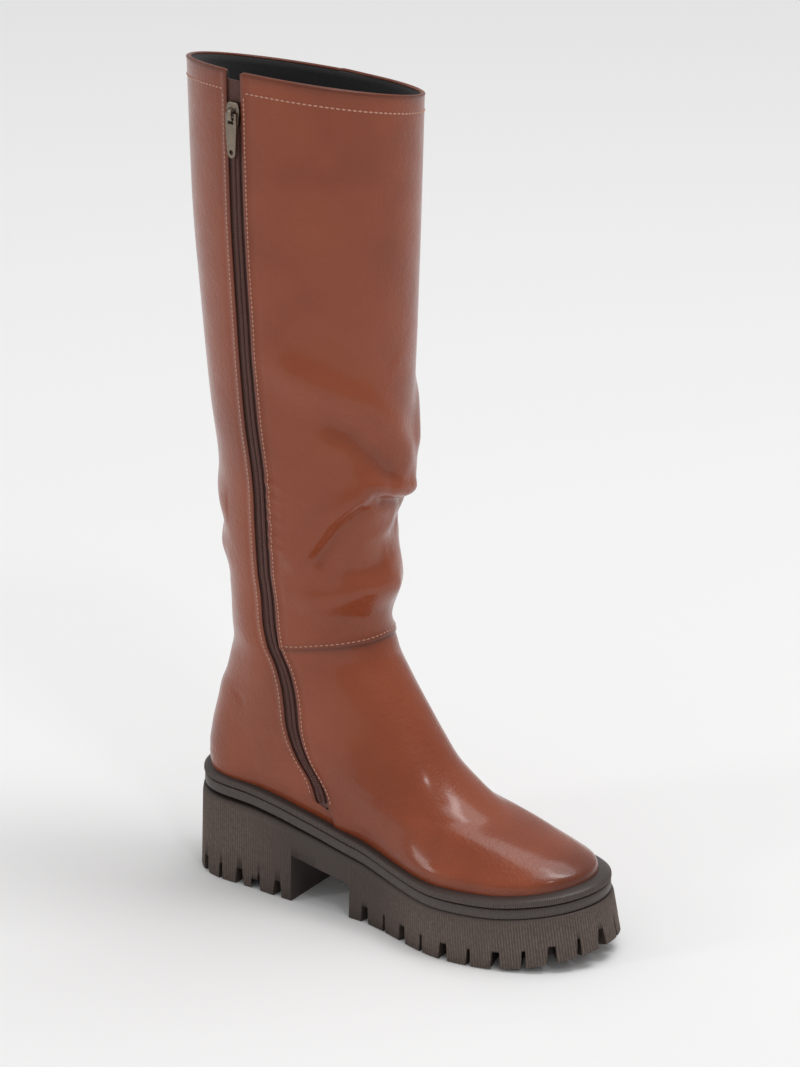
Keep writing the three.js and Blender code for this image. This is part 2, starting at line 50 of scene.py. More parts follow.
# %% [markdown]
# ## The last
# A boot is built over a last, so every piece needs the same form. The last is kept as a short table
# of level sections, in millimetres from the back edge of the heel, joined by smooth curves. A place
# on it is named by a turn in degrees (0 toe, 90 outer side, 180 heel, -90 inner side) and a level,
# from the feather edge at the sole to the collar. Keeping one function for the form means that
# neighbouring pieces always fit.

# %% Smooth curves through tables
MM = 0.001
TABLE_TO_FRAME = np.array([-135.0, 1.483, 0.0])


def steady_slopes(xs, ys):
    """Slopes that keep a cubic from overshooting its rows."""
    step = np.diff(ys, axis=-1) / np.diff(xs, axis=-1)
    before, after = step[..., :-1], step[..., 1:]
    with np.errstate(divide="ignore", invalid="ignore"):
        middle = np.where(before * after <= 0, 0, 2 * before * after / (before + after))
    slopes = np.zeros_like(ys)
    slopes[..., 1:-1] = np.nan_to_num(middle)
    slopes[..., 0] = step[..., 0]
    slopes[..., -1] = step[..., -1]
    return slopes


def curve_through(xs, ys, x):
    """The smooth curve through the rows at x, where ys may hold one row of heights for each x."""
    xs = np.asarray(xs, float)
    ys = np.asarray(ys, float)
    x = np.clip(np.asarray(x, float), xs[0], xs[-1])
    i = np.clip(np.searchsorted(xs, x, side="right") - 1, 0, len(xs) - 2)
    width = xs[i + 1] - xs[i]
    s = (x - xs[i]) / width
    slopes = steady_slopes(np.broadcast_to(xs, ys.shape), ys)
    if ys.ndim == 2:
        k = np.arange(len(x))
        low, high, t0, t1 = ys[k, i], ys[k, i + 1], slopes[k, i], slopes[k, i + 1]
    else:
        low, high, t0, t1 = ys[i], ys[i + 1], slopes[i], slopes[i + 1]
    along = low + (high - low) * s**2 * (3 - 2 * s)
    return along + t0 * width * s * (1 - s) ** 2 - t1 * width * s**2 * (1 - s)


SEAT = (
    (0, 59), (30, 58.5), (60, 56), (90, 50), (120, 42.5),
    (150, 37), (185, 34.5), (215, 35), (245, 38), (270, 42),
)
PARTING_DROP = 0.35
BAND = ((40, 8.5), (160, 6))
CENTRE_LINE = ((0.2, 0), (0.45, 0.5), (0.72, -4), (1, -4))


def seat_height(x):
    """Height of the foot bed's edge over the floor."""
    return curve_through(*zip(*SEAT), x)


def parting_height(x):
    """Height of the line where the ribbed unit sole meets the smooth band above it."""
    return seat_height(x) - curve_through(*zip(*BAND), x) - PARTING_DROP


# %% [markdown]
# ## Sections of the form
# Each row is one level: its height at the heel and at the front, how far it dips with the foot bed,
# then its back and front ends, half widths at heel, waist and ball, its two end radii, and its sway
# and lift to one side. It is how a pattern cutter would note a last, with sizes taken at a few named
# places.

# %% The table of sections
COLUMNS = (
    "level", "rear_height", "front_height", "follow", "back", "front", "heel", "waist", "ball",
    "back_radius", "front_radius", "sway", "lift",
)
SECTIONS = np.array([
    (48, 59, 40, 1, 7, 257.5, 28.5, 31, 43, 33, 29, 1, 0),
    (60, 71, 50, 1, 5.5, 256, 30.5, 33, 43.5, 33, 27, 1, 0),
    (66, 78, 55, 1, 5.5, 246.5, 31, 34, 39.5, 32, 25, 1, 0),
    (72, 85, 59.5, 0.9, 6.5, 232, 31, 34, 35.5, 31, 24, 1, 0),
    (77, 91, 64, 0.8, 7.5, 215, 30.5, 34, 33.5, 30.5, 23, 1, 0),
    (82, 97, 69.3, 0.7, 9, 197.3, 30, 33.5, 31, 30, 20, 1, 0),
    (90, 105, 77, 0.5, 11, 182, 29.5, 33.5, 30, 29, 20, 0.7, 0),
    (100, 114, 88, 0.35, 13, 168, 29, 33, 29, 28, 19, 0.6, 0),
    (112, 124, 102, 0.2, 17, 156.5, 29, 33, 28.5, 27, 19, 0.4, 0),
    (124, 135, 116, 0.1, 20, 146.5, 29.5, 33, 28.5, 27, 20, 0.3, 0),
    (138, 147, 132, 0, 22.5, 134.5, 30, 33.5, 29, 27, 21, 0.2, 0),
    (152, 158, 148, 0, 22, 124, 31, 35, 31, 28, 24, 0, 0),
    (166, 170, 163, 0, 22, 121, 32, 37, 33, 29, 27, 0, 0),
    (182, 185, 180, 0, 21, 123, 33, 39, 35.5, 31, 29, 0, 0),
    (198, 200, 196, 0, 18.5, 125.5, 34.5, 41.5, 37.5, 33, 31, 0, 0),
    (224, 225, 222, 0, 17, 129, 37, 44.5, 40, 35, 33, 0, 0),
    (252, 253, 250, 0, 16.5, 132, 38.5, 47.5, 43, 37, 37, 0, 0),
    (290, 291, 288, 0, 12, 131, 40.5, 50, 45, 39, 39, 0, 0),
    (340, 342, 338, 0, 7.5, 132.5, 42.5, 52.5, 47.5, 42, 42, 0, 0.03),
    (400, 403, 398, 0, 2.5, 134.5, 43.5, 54, 49, 43, 43, 0, 0.1),
    (470, 476, 470, 0, 0.5, 136.5, 44, 55, 49.5, 44, 44, 0, 0.2),
])
FEATHER, COLLAR = 48, 470
SLOUCH = ((224, 12, 9, 17, 52), (168, 20, 2.5, 9, 60))


def plan(section, turn):
    """Plan position of a turn on a section, which is a dictionary of sizes, and its share along."""
    angle = np.radians(turn)
    along = (1 + np.cos(angle)) / 2
    length = section["front"] - section["back"]
    ends = [np.sqrt(section[k] * length / 2) for k in ("back_radius", "front_radius")]
    full = [ends[0], section["heel"] / 0.8, section["waist"] / 0.995, section["ball"] / 0.898, ends[1]]
    full = np.stack([np.broadcast_to(f, along.shape) for f in full], -1)
    fullness = curve_through((0, 0.2, 0.45, 0.72, 1), full, along)
    centre = section["sway"] * curve_through(*zip(*CENTRE_LINE), along)
    return section["back"] + length * along, centre, np.sin(angle) * fullness, along


def last_point(turn, level):
    """Point of the plain form, in table millimetres."""
    level = np.clip(level, FEATHER, COLLAR)
    section = {c: curve_through(SECTIONS[:, 0], SECTIONS[:, k], level) for k, c in enumerate(COLUMNS)}
    x, centre, half, along = plan(section, turn)
    slack = 0
    for middle, facing, depth, reach, spread in SLOUCH:
        away = (turn - facing + 180) % 360 - 180
        slack = slack + depth * np.exp(-(((level - middle) / reach) ** 2) - (away / spread) ** 2)
    angle = np.radians(turn)
    x = x - slack * np.cos(angle)
    y = centre + half - slack * np.sin(angle)
    seat_chord = seat_height(section["back"]) * (1 - along) + seat_height(section["front"]) * along
    chord = section["rear_height"] * (1 - along) + section["front_height"] * along
    z = chord + section["follow"] * (seat_height(x) - seat_chord) - section["lift"] * y
    return np.stack([x, y, z], -1)


def last_normal(turn, level):
    """Outward direction of the plain form."""
    middle = np.clip(level, FEATHER + 0.6, COLLAR - 0.6)
    round_ = last_point(turn + 0.6, level) - last_point(turn - 0.6, level)
    up = last_point(turn, middle + 0.6) - last_point(turn, middle - 0.6)
    out = np.cross(round_, up)
    return out / np.linalg.norm(out, axis=-1, keepdims=True)


def reach_per_degree(turn, level):
    """Millimetres round the form for each degree of turn."""
    return np.linalg.norm(last_point(turn + 0.5, level) - last_point(turn - 0.5, level), axis=-1)


# %% [markdown]
# ## Slouch folds
# The soft shaft has sunk over the ankle, which leaves one sharp pinch in front and long ridges that
# run down and back from it. A cloth simulation would give folds of its own choosing, so these are
# listed one by one: each row is a path of turn and level, with a height (a trough is negative) and a reach
# across the path.

# %% The table of folds
FOLDS = (
    (((-85, 327), (-58, 314), (-32, 303), (-10, 285), (13, 258)), 3.5, 10),
    (((-60, 299), (-38, 288), (-20, 270), (-4, 254)), -3.2, 8),
    (((-36, 262), (-29, 258), (-17, 255), (5, 248), (24, 247)), 3.2, 5),
    (((-26, 248), (-8, 243), (12, 240), (34, 243)), -3.4, 3.6),
    (((-26, 257), (-48, 242), (-67, 218), (-82, 201)), 3.2, 7.5),
    (((-28, 247), (-50, 230), (-66, 206)), -2.8, 5.5),
    (((8, 230), (-6, 226), (-38, 222)), 1.8, 7),
    (((-48, 208), (-27, 206), (-4, 209)), -1.9, 6),
    (((-80, 187), (-54, 187), (-28, 193), (-8, 192), (20, 190)), 2.6, 7),
    (((-70, 173), (-36, 176), (-4, 177), (26, 176)), -1.3, 6),
    (((-60, 345), (-30, 338), (-6, 322)), -0.9, 12),
    (((92, 318), (64, 309), (38, 292), (16, 262)), 3.2, 10),
    (((84, 300), (58, 288), (38, 266)), -2.8, 8),
    (((28, 254), (50, 240), (70, 220), (90, 206)), 2.4, 7.5),
    (((34, 244), (58, 226), (78, 208)), -2, 5.5),
    (((20, 226), (48, 214), (72, 196)), 1.6, 7),
    (((30, 205), (56, 200), (80, 186)), -1.4, 6),
    (((24, 191), (54, 184), (84, 178)), 1.4, 7),
    (((150, 226), (172, 216), (200, 220), (226, 212)), -1.5, 7),
    (((140, 243), (168, 234), (206, 237), (236, 228)), 1.3, 9),
    (((150, 188), (184, 182), (220, 190)), -1.2, 7),
    (((146, 203), (180, 199), (224, 203)), 1.1, 7),
    (((223, 106), (238.5, 96), (245, 88)), -0.7, 2.6),
    (((-70, 112), (-40, 124), (-4, 130), (40, 124), (70, 110)), -0.4, 9),
)
PUCKERS = (255, 246, 240, 233, 223, 216)
TURN_MM = 0.95


def path_distance(turn, level, path):
    """Distance in mm to a path of turns and levels, and the share of its length at the nearest point."""
    points = np.array(path, float) * (TURN_MM, 1)
    lengths = np.linalg.norm(np.diff(points, axis=0), axis=1)
    gone = np.concatenate([[0], np.cumsum(lengths)])
    place = np.stack([turn * TURN_MM, level], -1)
    nearest = np.full(turn.shape, 1e9)
    share = np.zeros(turn.shape)
    for a, b, long, start in zip(points, points[1:], lengths, gone):
        t = np.clip((place - a) @ (b - a) / long**2, 0, 1)
        away = np.linalg.norm(place - a - t[..., None] * (b - a), axis=-1)
        closer = away < nearest
        nearest = np.where(closer, away, nearest)
        share = np.where(closer, (start + t * long) / gone[-1], share)
    return nearest, share


def fold_relief(turn, level):
    """Height of the folds over the plain form, in mm."""
    turn = (turn + 128) % 360 - 128
    height = np.zeros(turn.shape)
    for path, rise, reach in FOLDS:
        away, share = path_distance(turn, level, path)
        fade = np.clip(np.minimum(share, 1 - share) / 0.16, 0, 1)
        height += rise * np.exp(-((away / reach) ** 2)) * (0.25 + 0.75 * fade * fade * (3 - 2 * fade))
    for middle in PUCKERS:
        away, share = path_distance(turn, level, ((-91, middle + 1), (-82, middle - 1)))
        height += 1.1 * np.exp(-((away / 1.9) ** 2)) * (1 - 0.5 * share)
    return height


def skin(turn, level, proud=0.0):
    """Point in metres of the leather's outer face, proud of it by a distance in mm."""
    turn = np.asarray(turn, float)
    level = np.asarray(level, float)
    point = last_point(turn, level)
    lift = np.asarray(proud) + fold_relief(turn, level)
    past = np.clip(level - COLLAR, 0, None)
    point = point + last_normal(turn, level) * lift[..., None]
    point[..., 2] += past
    return (point + TABLE_TO_FRAME) * MM


probe = skin(np.linspace(-180, 180, 721), np.full(721, 470.0))
print("collar from", probe.min(0).round(4), "to", probe.max(0).round(4))

# %% [markdown]
# ## Pattern lines
# Three panels meet on this boot: a vamp over the foot, a front shaft lapped over it at the ankle, and
# a back that runs from sole to collar round the heel. The zip parts front and back on the inner side,
# and a lapped seam joins them on the outer side. Each line is one short table, so that panels,
# stitches and wear all follow the same line.

# %% The pattern lines
ZIP_LINE = (
    (48, -107), (60, -105), (72, -102.5), (100, -99),
    (130, -96.5), (170, -96), (250, -96.5), (470, -98),
)
LAP_UNDER_ZIP = ((48, -97.5), (54, -99.8), (60, -102.4), (63, -103.5))
OUTER_SEAM = ((48, 106), (60, 104), (80, 101), (110, 97), (160, 95), (260, 97), (470, 100))
ANKLE_SEAM = ((-110, 149), (-88, 152), (-58, 158), (-29, 161), (-3, 162), (21, 160), (60, 156), (110, 150))
SLOT = 9.5
ZIP_BOTTOM = 61
LAP_TOP = 63


def zip_turn(level):
    """Turn of the zip's middle."""
    return curve_through(*zip(*ZIP_LINE), level)


EDGE_LEVELS = np.linspace(FEATHER, COLLAR, 160)
HALF_SLOT = SLOT / 2 / reach_per_degree(zip_turn(EDGE_LEVELS), EDGE_LEVELS)


def zip_edge(level, side, beyond=0.0):
    """Turn of a lip of the zip's slot, side 1 in front and -1 behind, some mm beyond the slot."""
    half = np.interp(level, EDGE_LEVELS, HALF_SLOT)
    return zip_turn(level) + side * half * (1 + 2 * beyond / SLOT)


def outer_seam(level):
    return curve_through(*zip(*OUTER_SEAM), level)


def ankle_seam(turn):
    return curve_through(*zip(*ANKLE_SEAM), turn)


def vamp_inner_edge(level):
    """The vamp follows the zip, then laps over the back panel under the zip's end."""
    lap = curve_through(*zip(*LAP_UNDER_ZIP), level)
    return np.where(level > LAP_TOP, zip_edge(level, 1), np.minimum(lap, zip_edge(LAP_TOP, 1)))


print("slot half width in degrees:", HALF_SLOT.min().round(2), "to", HALF_SLOT.max().round(2))

# %% [markdown]
# ## Node helpers
# Materials here are built from small node groups that several finishes share. A helper adds a node
# with its settings and links in one line, which keeps each material short enough to read as a recipe.

# %% Helpers for nodes
def add_node(tree, kind, settings=None, **inputs):
    """A node whose inputs are set to values or linked from sockets, underscores standing for spaces."""
    node = tree.nodes.new(kind)
    for key, value in (settings or {}).items():
        setattr(node, key, value)
    for key, value in inputs.items():
        name = key.replace("_", " ")
        socket = node.inputs[int(key[1:])] if key[0] == "i" and key[1:].isdigit() else node.inputs[name]
        if isinstance(value, bpy.types.NodeSocket):
            tree.links.new(value, socket)
        else:
            socket.default_value = value
    return node


def maths(tree, operation, a, b=0.0, clamp=False):
    settings = {"operation": operation, "use_clamp": clamp}
    return add_node(tree, "ShaderNodeMath", settings, i0=a, i1=b).outputs[0]


def blend(tree, share, a, b, mode="MIX"):
    """One colour laid over another by a share."""
    settings = {"data_type": "RGBA", "blend_type": mode, "clamp_factor": True}
    return add_node(tree, "ShaderNodeMix", settings, i0=share, i6=a, i7=b).outputs[2]


def new_group(name, inputs, outputs):
    """An empty node group with named sockets, returned with its input and output nodes."""
    tree = bpy.data.node_groups.new(name, "ShaderNodeTree")
    kinds = {"v": "NodeSocketVector", "c": "NodeSocketColor", "f": "NodeSocketFloat"}
    for label, kind in inputs:
        tree.interface.new_socket(name=label, in_out="INPUT", socket_type=kinds[kind])
    for label, kind in outputs:
        tree.interface.new_socket(name=label, in_out="OUTPUT", socket_type=kinds[kind])
    return tree, tree.nodes.new("NodeGroupInput").outputs, tree.nodes.new("NodeGroupOutput")


def use_group(tree, group, **inputs):
    return add_node(tree, "ShaderNodeGroup", {"node_tree": group}, **inputs).outputs


# %% [markdown]
# ## Shared effects
# Grain is a cell pattern of about a millimetre with finer wrinkles between. Burnishing darkens where a
# finisher's brush or wear has gone, and the same darkening lays painted shade in the hollows of the folds.
# A weave is two crossed waves, and rubber and metal share a soft mottling that shifts colour and gloss
# together, since a rubbed spot is paler and smoother at once.

# %% Node groups
grain_group, given, out = new_group(
    "leather_grain", [("Vector", "v"), ("Scale", "f")], [("Height", "f"), ("Tone", "f"), ("Bloom", "f")])
tree = grain_group
cells = add_node(
    tree, "ShaderNodeTexVoronoi", {"feature": "F1"}, Vector=given["Vector"], Scale=given["Scale"])
cells.inputs["Randomness"].default_value = 0.9
wrinkle_scale = maths(tree, "MULTIPLY", given["Scale"], 0.42)
fine = add_node(tree, "ShaderNodeTexNoise", Vector=given["Vector"], Scale=wrinkle_scale)
fine.inputs["Detail"].default_value = 4.0
soft = add_node(tree, "ShaderNodeTexNoise", Vector=given["Vector"], Scale=17.0, Detail=3.0)
bloom = add_node(tree, "ShaderNodeTexNoise", Vector=given["Vector"], Scale=75.0, Detail=5.0)
raised = maths(tree, "MULTIPLY", cells.outputs["Distance"], 0.45)
tree.links.new(maths(tree, "ADD", raised, fine.outputs["Fac"]), out.inputs["Height"])
tree.links.new(soft.outputs["Fac"], out.inputs["Tone"])
tree.links.new(bloom.outputs["Fac"], out.inputs["Bloom"])

# This group darkens a colour by a mask of burnishing and painted shade; the painted shade lies in the
# hollows of the folds.
burnishing_and_shade_group, given, out = new_group(
    "burnishing_and_shade",
    [("Color", "c"), ("Dark", "c"), ("Light", "c"), ("Wear", "f"), ("Tone", "f")],
    [("Color", "c")])
tree = burnishing_and_shade_group
swing = maths(tree, "MULTIPLY", maths(tree, "SUBTRACT", given["Tone"], 0.5), 1.5)
paler = blend(tree, maths(tree, "ADD", swing, 0.12, True), given["Color"], given["Light"])
dark_share = maths(tree, "SUBTRACT", given["Wear"], maths(tree, "MULTIPLY", swing, 0.5), True)
tree.links.new(blend(tree, dark_share, paler, given["Dark"]), out.inputs["Color"])

weave_group, given, out = new_group("weave", [("Vector", "v"), ("Threads", "f")], [("Height", "f")])
tree = weave_group
split = add_node(tree, "ShaderNodeSeparateXYZ", Vector=given["Vector"])
waves = [maths(tree, "SINE", maths(tree, "MULTIPLY", split.outputs[k], given["Threads"])) for k in (0, 1)]
crossed = maths(tree, "MULTIPLY", waves[0], waves[1])
tree.links.new(maths(tree, "MULTIPLY_ADD", crossed, 0.5), out.inputs["Height"])
tree.nodes[-1].inputs[2].default_value = 0.5

mottle_group, given, out = new_group(
    "mottle",
    [("Vector", "v"), ("Color", "c"), ("Rubbed", "c"), ("Rub", "f"), ("Scale", "f"), ("Roughness", "f")],
    [("Color", "c"), ("Roughness", "f"), ("Height", "f")])
tree = mottle_group
spots = add_node(tree, "ShaderNodeTexNoise", Vector=given["Vector"], Scale=given["Scale"], Detail=5.0)
dust = maths(tree, "MULTIPLY", maths(tree, "SUBTRACT", spots.outputs["Fac"], 0.12, True), 1.25)
share = maths(tree, "MULTIPLY", given["Rub"], dust, True)
tree.links.new(blend(tree, share, given["Color"], given["Rubbed"]), out.inputs["Color"])
drop = maths(tree, "MULTIPLY", share, 0.14)
tree.links.new(maths(tree, "SUBTRACT", given["Roughness"], drop, True), out.inputs["Roughness"])
tree.links.new(spots.outputs["Fac"], out.inputs["Height"])
print("node groups:", [g.name for g in bpy.data.node_groups])

# %% [markdown]
# ## Finishes
# The leather is a waxed cognac with a glossy top coat, so it has a rough base for its broad sheen and
# a thin coat for its highlights. Rubber, textile, coil and metal are quieter: their colour and
# roughness move together.

# %% Materials
def new_finish(name):
    material = bpy.data.materials.new(name)
    material.use_nodes = True
    tree = material.node_tree
    shader = tree.nodes["Principled BSDF"]
    place = tree.nodes.new("ShaderNodeTexCoord").outputs["Object"]
    return material, tree, shader, place


def wear_mask(tree, name):
    settings = {"attribute_name": name, "attribute_type": "GEOMETRY"}
    return add_node(tree, "ShaderNodeAttribute", settings).outputs["Fac"]


def rough_up(tree, shader, height, strength, distance):
    bump = add_node(tree, "ShaderNodeBump", Strength=strength, Distance=distance, Height=height)
    tree.links.new(bump.outputs["Normal"], shader.inputs["Normal"])


def leather_finish(name, color, dark, light, roughness=0.42, coat=0.6):
    material, tree, shader, place = new_finish(name)
    grain = use_group(tree, grain_group, Vector=place, Scale=620.0)
    # The mask read here is burnishing, plus painted shade in the hollows of the folds.
    wear = wear_mask(tree, "burnishing_and_shade")
    mixed = use_group(
        tree, burnishing_and_shade_group, Color=color, Dark=dark, Light=light, Wear=wear, Tone=grain["Tone"])
    tree.links.new(mixed["Color"], shader.inputs["Base Color"])
    dulling = maths(tree, "MULTIPLY", maths(tree, "SUBTRACT", grain["Bloom"], 0.5), 0.35)
    tree.links.new(maths(tree, "ADD", dulling, roughness, True), shader.inputs["Roughness"])
    shader.inputs["Coat Weight"].default_value = coat
    shader.inputs["Coat Roughness"].default_value = 0.17
    shader.inputs["Specular IOR Level"].default_value = 0.22
    rough_up(tree, shader, grain["Height"], 0.55, 0.0008)
    return material


def textile_finish(name, color, bright, threads, from_uv, roughness=0.9):
    material, tree, shader, place = new_finish(name)
    if from_uv:
        place = tree.nodes["Texture Coordinate"].outputs["UV"]
    weave = use_group(tree, weave_group, Vector=place, Threads=threads)
    tree.links.new(blend(tree, weave["Height"], color, bright), shader.inputs["Base Color"])
    shader.inputs["Roughness"].default_value = roughness
    shader.inputs["Sheen Weight"].default_value = 0.2
    rough_up(tree, shader, weave["Height"], 0.6, 0.0003)
    return material


def moulded_finish(name, color, rubbed, scale, roughness, rub=None, metal=0.0, depth=0.0002):
    material, tree, shader, place = new_finish(name)
    amount = wear_mask(tree, rub) if rub else 0.45
    mixed = use_group(
        tree, mottle_group, Vector=place, Color=color, Rubbed=rubbed, Rub=amount, Scale=scale,
        Roughness=roughness)
    tree.links.new(mixed["Color"], shader.inputs["Base Color"])
    tree.links.new(mixed["Roughness"], shader.inputs["Roughness"])
    shader.inputs["Metallic"].default_value = metal
    rough_up(tree, shader, mixed["Height"], 0.5, depth)
    return material


COGNAC = (0.250, 0.046, 0.0115, 1)
COGNAC_DARK = (0.060, 0.0105, 0.004, 1)
COGNAC_LIGHT = (0.330, 0.073, 0.022, 1)
leather = leather_finish("waxed_cognac_leather", COGNAC, COGNAC_DARK, COGNAC_LIGHT)
edge_leather = leather_finish(
    "folded_edge_leather", (0.17, 0.045, 0.022, 1), COGNAC_DARK, COGNAC, 0.42, 0.2)
thread = textile_finish(
    "waxed_thread", (0.47, 0.21, 0.14, 1), (0.66, 0.36, 0.26, 1), 7000.0, False, 0.6)
lining_cloth = textile_finish(
    "black_lining_cloth", (0.011, 0.010, 0.011, 1), (0.034, 0.031, 0.033, 1), 5200.0, True)
insole_cloth = textile_finish(
    "insole_board_cloth", (0.014, 0.013, 0.013, 1), (0.04, 0.036, 0.034, 1), 4200.0, False)
tape_cloth = textile_finish(
    "zip_tape_cloth", (0.055, 0.019, 0.013, 1), (0.115, 0.042, 0.030, 1), 5200.0, True, 0.85)
coil = moulded_finish(
    "zip_coil_nylon", (0.085, 0.026, 0.020, 1), (0.26, 0.12, 0.095, 1), 900.0, 0.36)
wall_rubber = moulded_finish(
    "rubbed_wall_rubber", (0.052, 0.037, 0.031, 1), (0.27, 0.19, 0.15, 1), 640.0, 0.6, "rub")
band_rubber = moulded_finish(
    "satin_band_rubber", (0.034, 0.024, 0.021, 1), (0.12, 0.09, 0.078, 1), 900.0, 0.46, "rub")
welt_rubber = moulded_finish(
    "ribbed_welt_rubber", (0.040, 0.027, 0.023, 1), (0.15, 0.11, 0.092, 1), 900.0, 0.44, "rub")
antique_metal = moulded_finish(
    "antique_metal", (0.16, 0.125, 0.095, 1), (0.52, 0.44, 0.36, 1), 700.0, 0.38, metal=1.0)
plate_metal = moulded_finish(
    "blackened_metal", (0.12, 0.095, 0.080, 1), (0.38, 0.32, 0.27, 1), 600.0, 0.34, metal=1.0)
print("finishes:", len(bpy.data.materials))

# %% [markdown]
# ## Turning a flat grid into a piece
# A leather panel starts flat on the cutting table and is pulled over the last. The same is done here:
# a bmesh grid is made flat, and each of its points is moved to its place on the form. The grid keeps
# its order, so a wrap round the boot is closed by merging the doubled points where its two edges
# meet.

# %% Helpers for pieces
def flat_grid(columns, rows):
    """A unit grid as a bmesh with the shares across and up of its points."""
    bm = bmesh.new()
    bmesh.ops.create_grid(bm, x_segments=columns, y_segments=rows, size=0.5)
    bm.verts.ensure_lookup_table()
    shares = np.array([(v.co.x + 0.5, v.co.y + 0.5) for v in bm.verts])
    return bm, shares[:, 0], shares[:, 1]


def move_points(bm, points, merge=None):
    for v, co in zip(bm.verts, points.tolist()):
        v.co = co
    if merge:
        bmesh.ops.remove_doubles(bm, verts=bm.verts, dist=merge)


def note_mask(bm, name, values):
    layer = bm.verts.layers.float.new(name)
    for v, value in zip(bm.verts, values.tolist()):
        v[layer] = value


def note_cloth_map(bm, across, up):
    """A UV map in metres, so that a weave keeps its real size."""
    layer = bm.loops.layers.uv.new("cloth")
    for face in bm.faces:
        for loop in face.loops:
            loop[layer].uv = (across[loop.vert.index], up[loop.vert.index])


def finish_piece(bm, name, material, stands_for=(), body="boot", outward=True):
    """Writes a bmesh as one piece with smooth faces, a finish and a body to ride on. An open panel
    already faces outwards, as its grid did; only closed forms have their normals worked out again."""
    if outward:
        bmesh.ops.recalc_face_normals(bm, faces=bm.faces)
    for face in bm.faces:
        face.smooth = True
    mesh = bpy.data.meshes.new(name)
    bm.to_mesh(mesh)
    bm.free()
    piece = bpy.data.objects.new(name, mesh)
    scene.collection.objects.link(piece)
    mesh.materials.append(material)
    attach(piece, body)
    if stands_for:
        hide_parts(*stands_for)
    print(name, len(mesh.polygons), "faces")
    return piece


def thicken(piece, thickness, rim):
    """Real thickness inwards and a rounded rim."""
    wall = piece.modifiers.new("thickness", "SOLIDIFY")
    wall.thickness = thickness * MM
    wall.offset = -1
    if rim:
        edge = piece.modifiers.new("rim", "BEVEL")
        edge.width = rim * MM
        edge.segments = 2
        edge.limit_method = "ANGLE"
        edge.angle_limit = math.radians(55)
    return piece


# %% [markdown]
# ## Leather panels
# Each panel is spread between its four pattern lines. Near a lapped seam it rises by its own
# thickness over the panel below. A darkening mask is noted at each point: burnishing near the sole, at the
# toe and heel and beside seams and edges, and painted shade in the hollows of the folds.

# %% Spreading a panel
LEATHER_THICKNESS = 1.1
LAP_RISE = 1.15
RIM = 0.35
MIDDLE_LEVEL = 250.0


def spread_panel(across, up, left, right, bottom, top):
    """Turns and levels of grid shares between four pattern lines."""
    middle = np.full_like(up, MIDDLE_LEVEL)
    turn = left(middle) * (1 - across) + right(middle) * across
    for _ in range(4):
        level = bottom(turn) * (1 - up) + top(turn) * up
        turn = left(level) * (1 - across) + right(level) * across
    return turn, level


def lap(distance, width=9.0):
    return LAP_RISE * np.exp(-((np.clip(distance, 0, None) / width) ** 2))


# Each is a height, its distance from the zip's slot and its reach, in mm.
LIP_FOLD = (0.55, 1.8, 1.9)
LIP_LINE = (-0.35, 5.2, 1.2)


def zip_lip(distance):
    """The folded edge along the zip stands a little proud, with a shallow line behind it."""
    near = np.clip(distance, 0, None)
    shapes = (LIP_FOLD, LIP_LINE)
    return sum(rise * np.exp(-(((near - middle) / reach) ** 2)) for rise, middle, reach in shapes)


def level_line(height):
    """A pattern line that stays at one level all round."""
    return lambda turn: np.full_like(turn, height)


# Each strength is the darkest that the finisher goes at that place, from 0 to 1, except the hollows, where
# the strength is that of painted shade.
SOLE_BURNISH, SOLE_REACH = 0.62, 6.5
TOE_BURNISH, TOE_START, TOE_RUN = 0.80, 225, 34
HEEL_BURNISH, HEEL_FRONT, HEEL_TOP, HEEL_FADE = 0.42, 40, 125, 60
HOLLOW_PAINTED_SHADE, HOLLOW_DEPTH = 0.2, 3
EDGE_BURNISH, EDGE_REACH = 0.62, 2.2


def burnishing_and_shade_mask(turn, level, *edges):
    """Darkness from 0 to 1: burnishing near the sole, at toe and heel and beside edges given by distance in
    mm, and painted shade in the hollows of the folds.
    """
    point = last_point(turn, level)
    over_sole = point[..., 2] - seat_height(point[..., 0])
    mask = SOLE_BURNISH * np.exp(-np.clip(over_sole, 0, None) / SOLE_REACH)
    toe = np.clip((point[..., 0] - TOE_START) / TOE_RUN, 0, 1)
    mask = np.maximum(mask, TOE_BURNISH * toe**1.2)
    heel = np.clip((HEEL_FRONT - point[..., 0]) / HEEL_FRONT, 0, 1)
    heel = heel * np.clip((HEEL_TOP - point[..., 2]) / HEEL_FADE, 0, 1)
    mask = np.maximum(mask, HEEL_BURNISH * heel)
    # Painted shade: the hollows of the folds are darkened as if shade lay in them.
    painted_hollow_shade = np.clip(-fold_relief(turn, level) / HOLLOW_DEPTH, 0, 1)
    mask = np.maximum(mask, HOLLOW_PAINTED_SHADE * painted_hollow_shade)
    for distance in edges:
        mask = np.maximum(mask, EDGE_BURNISH * np.exp(-np.clip(distance, 0, None) / EDGE_REACH))
    return np.clip(mask, 0, 1)


def even_up_front(up, low, high):
    """Shares upwards changed so that rows are evenly spaced where the foot is longest."""
    levels = np.linspace(low, high, 200)
    line = last_point(np.zeros(200), levels)
    gone = np.concatenate([[0], np.cumsum(np.linalg.norm(np.diff(line, axis=0), axis=1) + 0.35)])
    return (np.interp(up * gone[-1], gone, levels) - low) / (high - low)


# %% [markdown]
# ## The vamp
# The vamp covers the foot from toe to ankle. Its rows would bunch up along the top of the long foot, so
# their shares upwards are evened out along the front line first. Laps and the folded edge beside the zip
# are added as height over the form, which keeps the panel one smooth sheet.

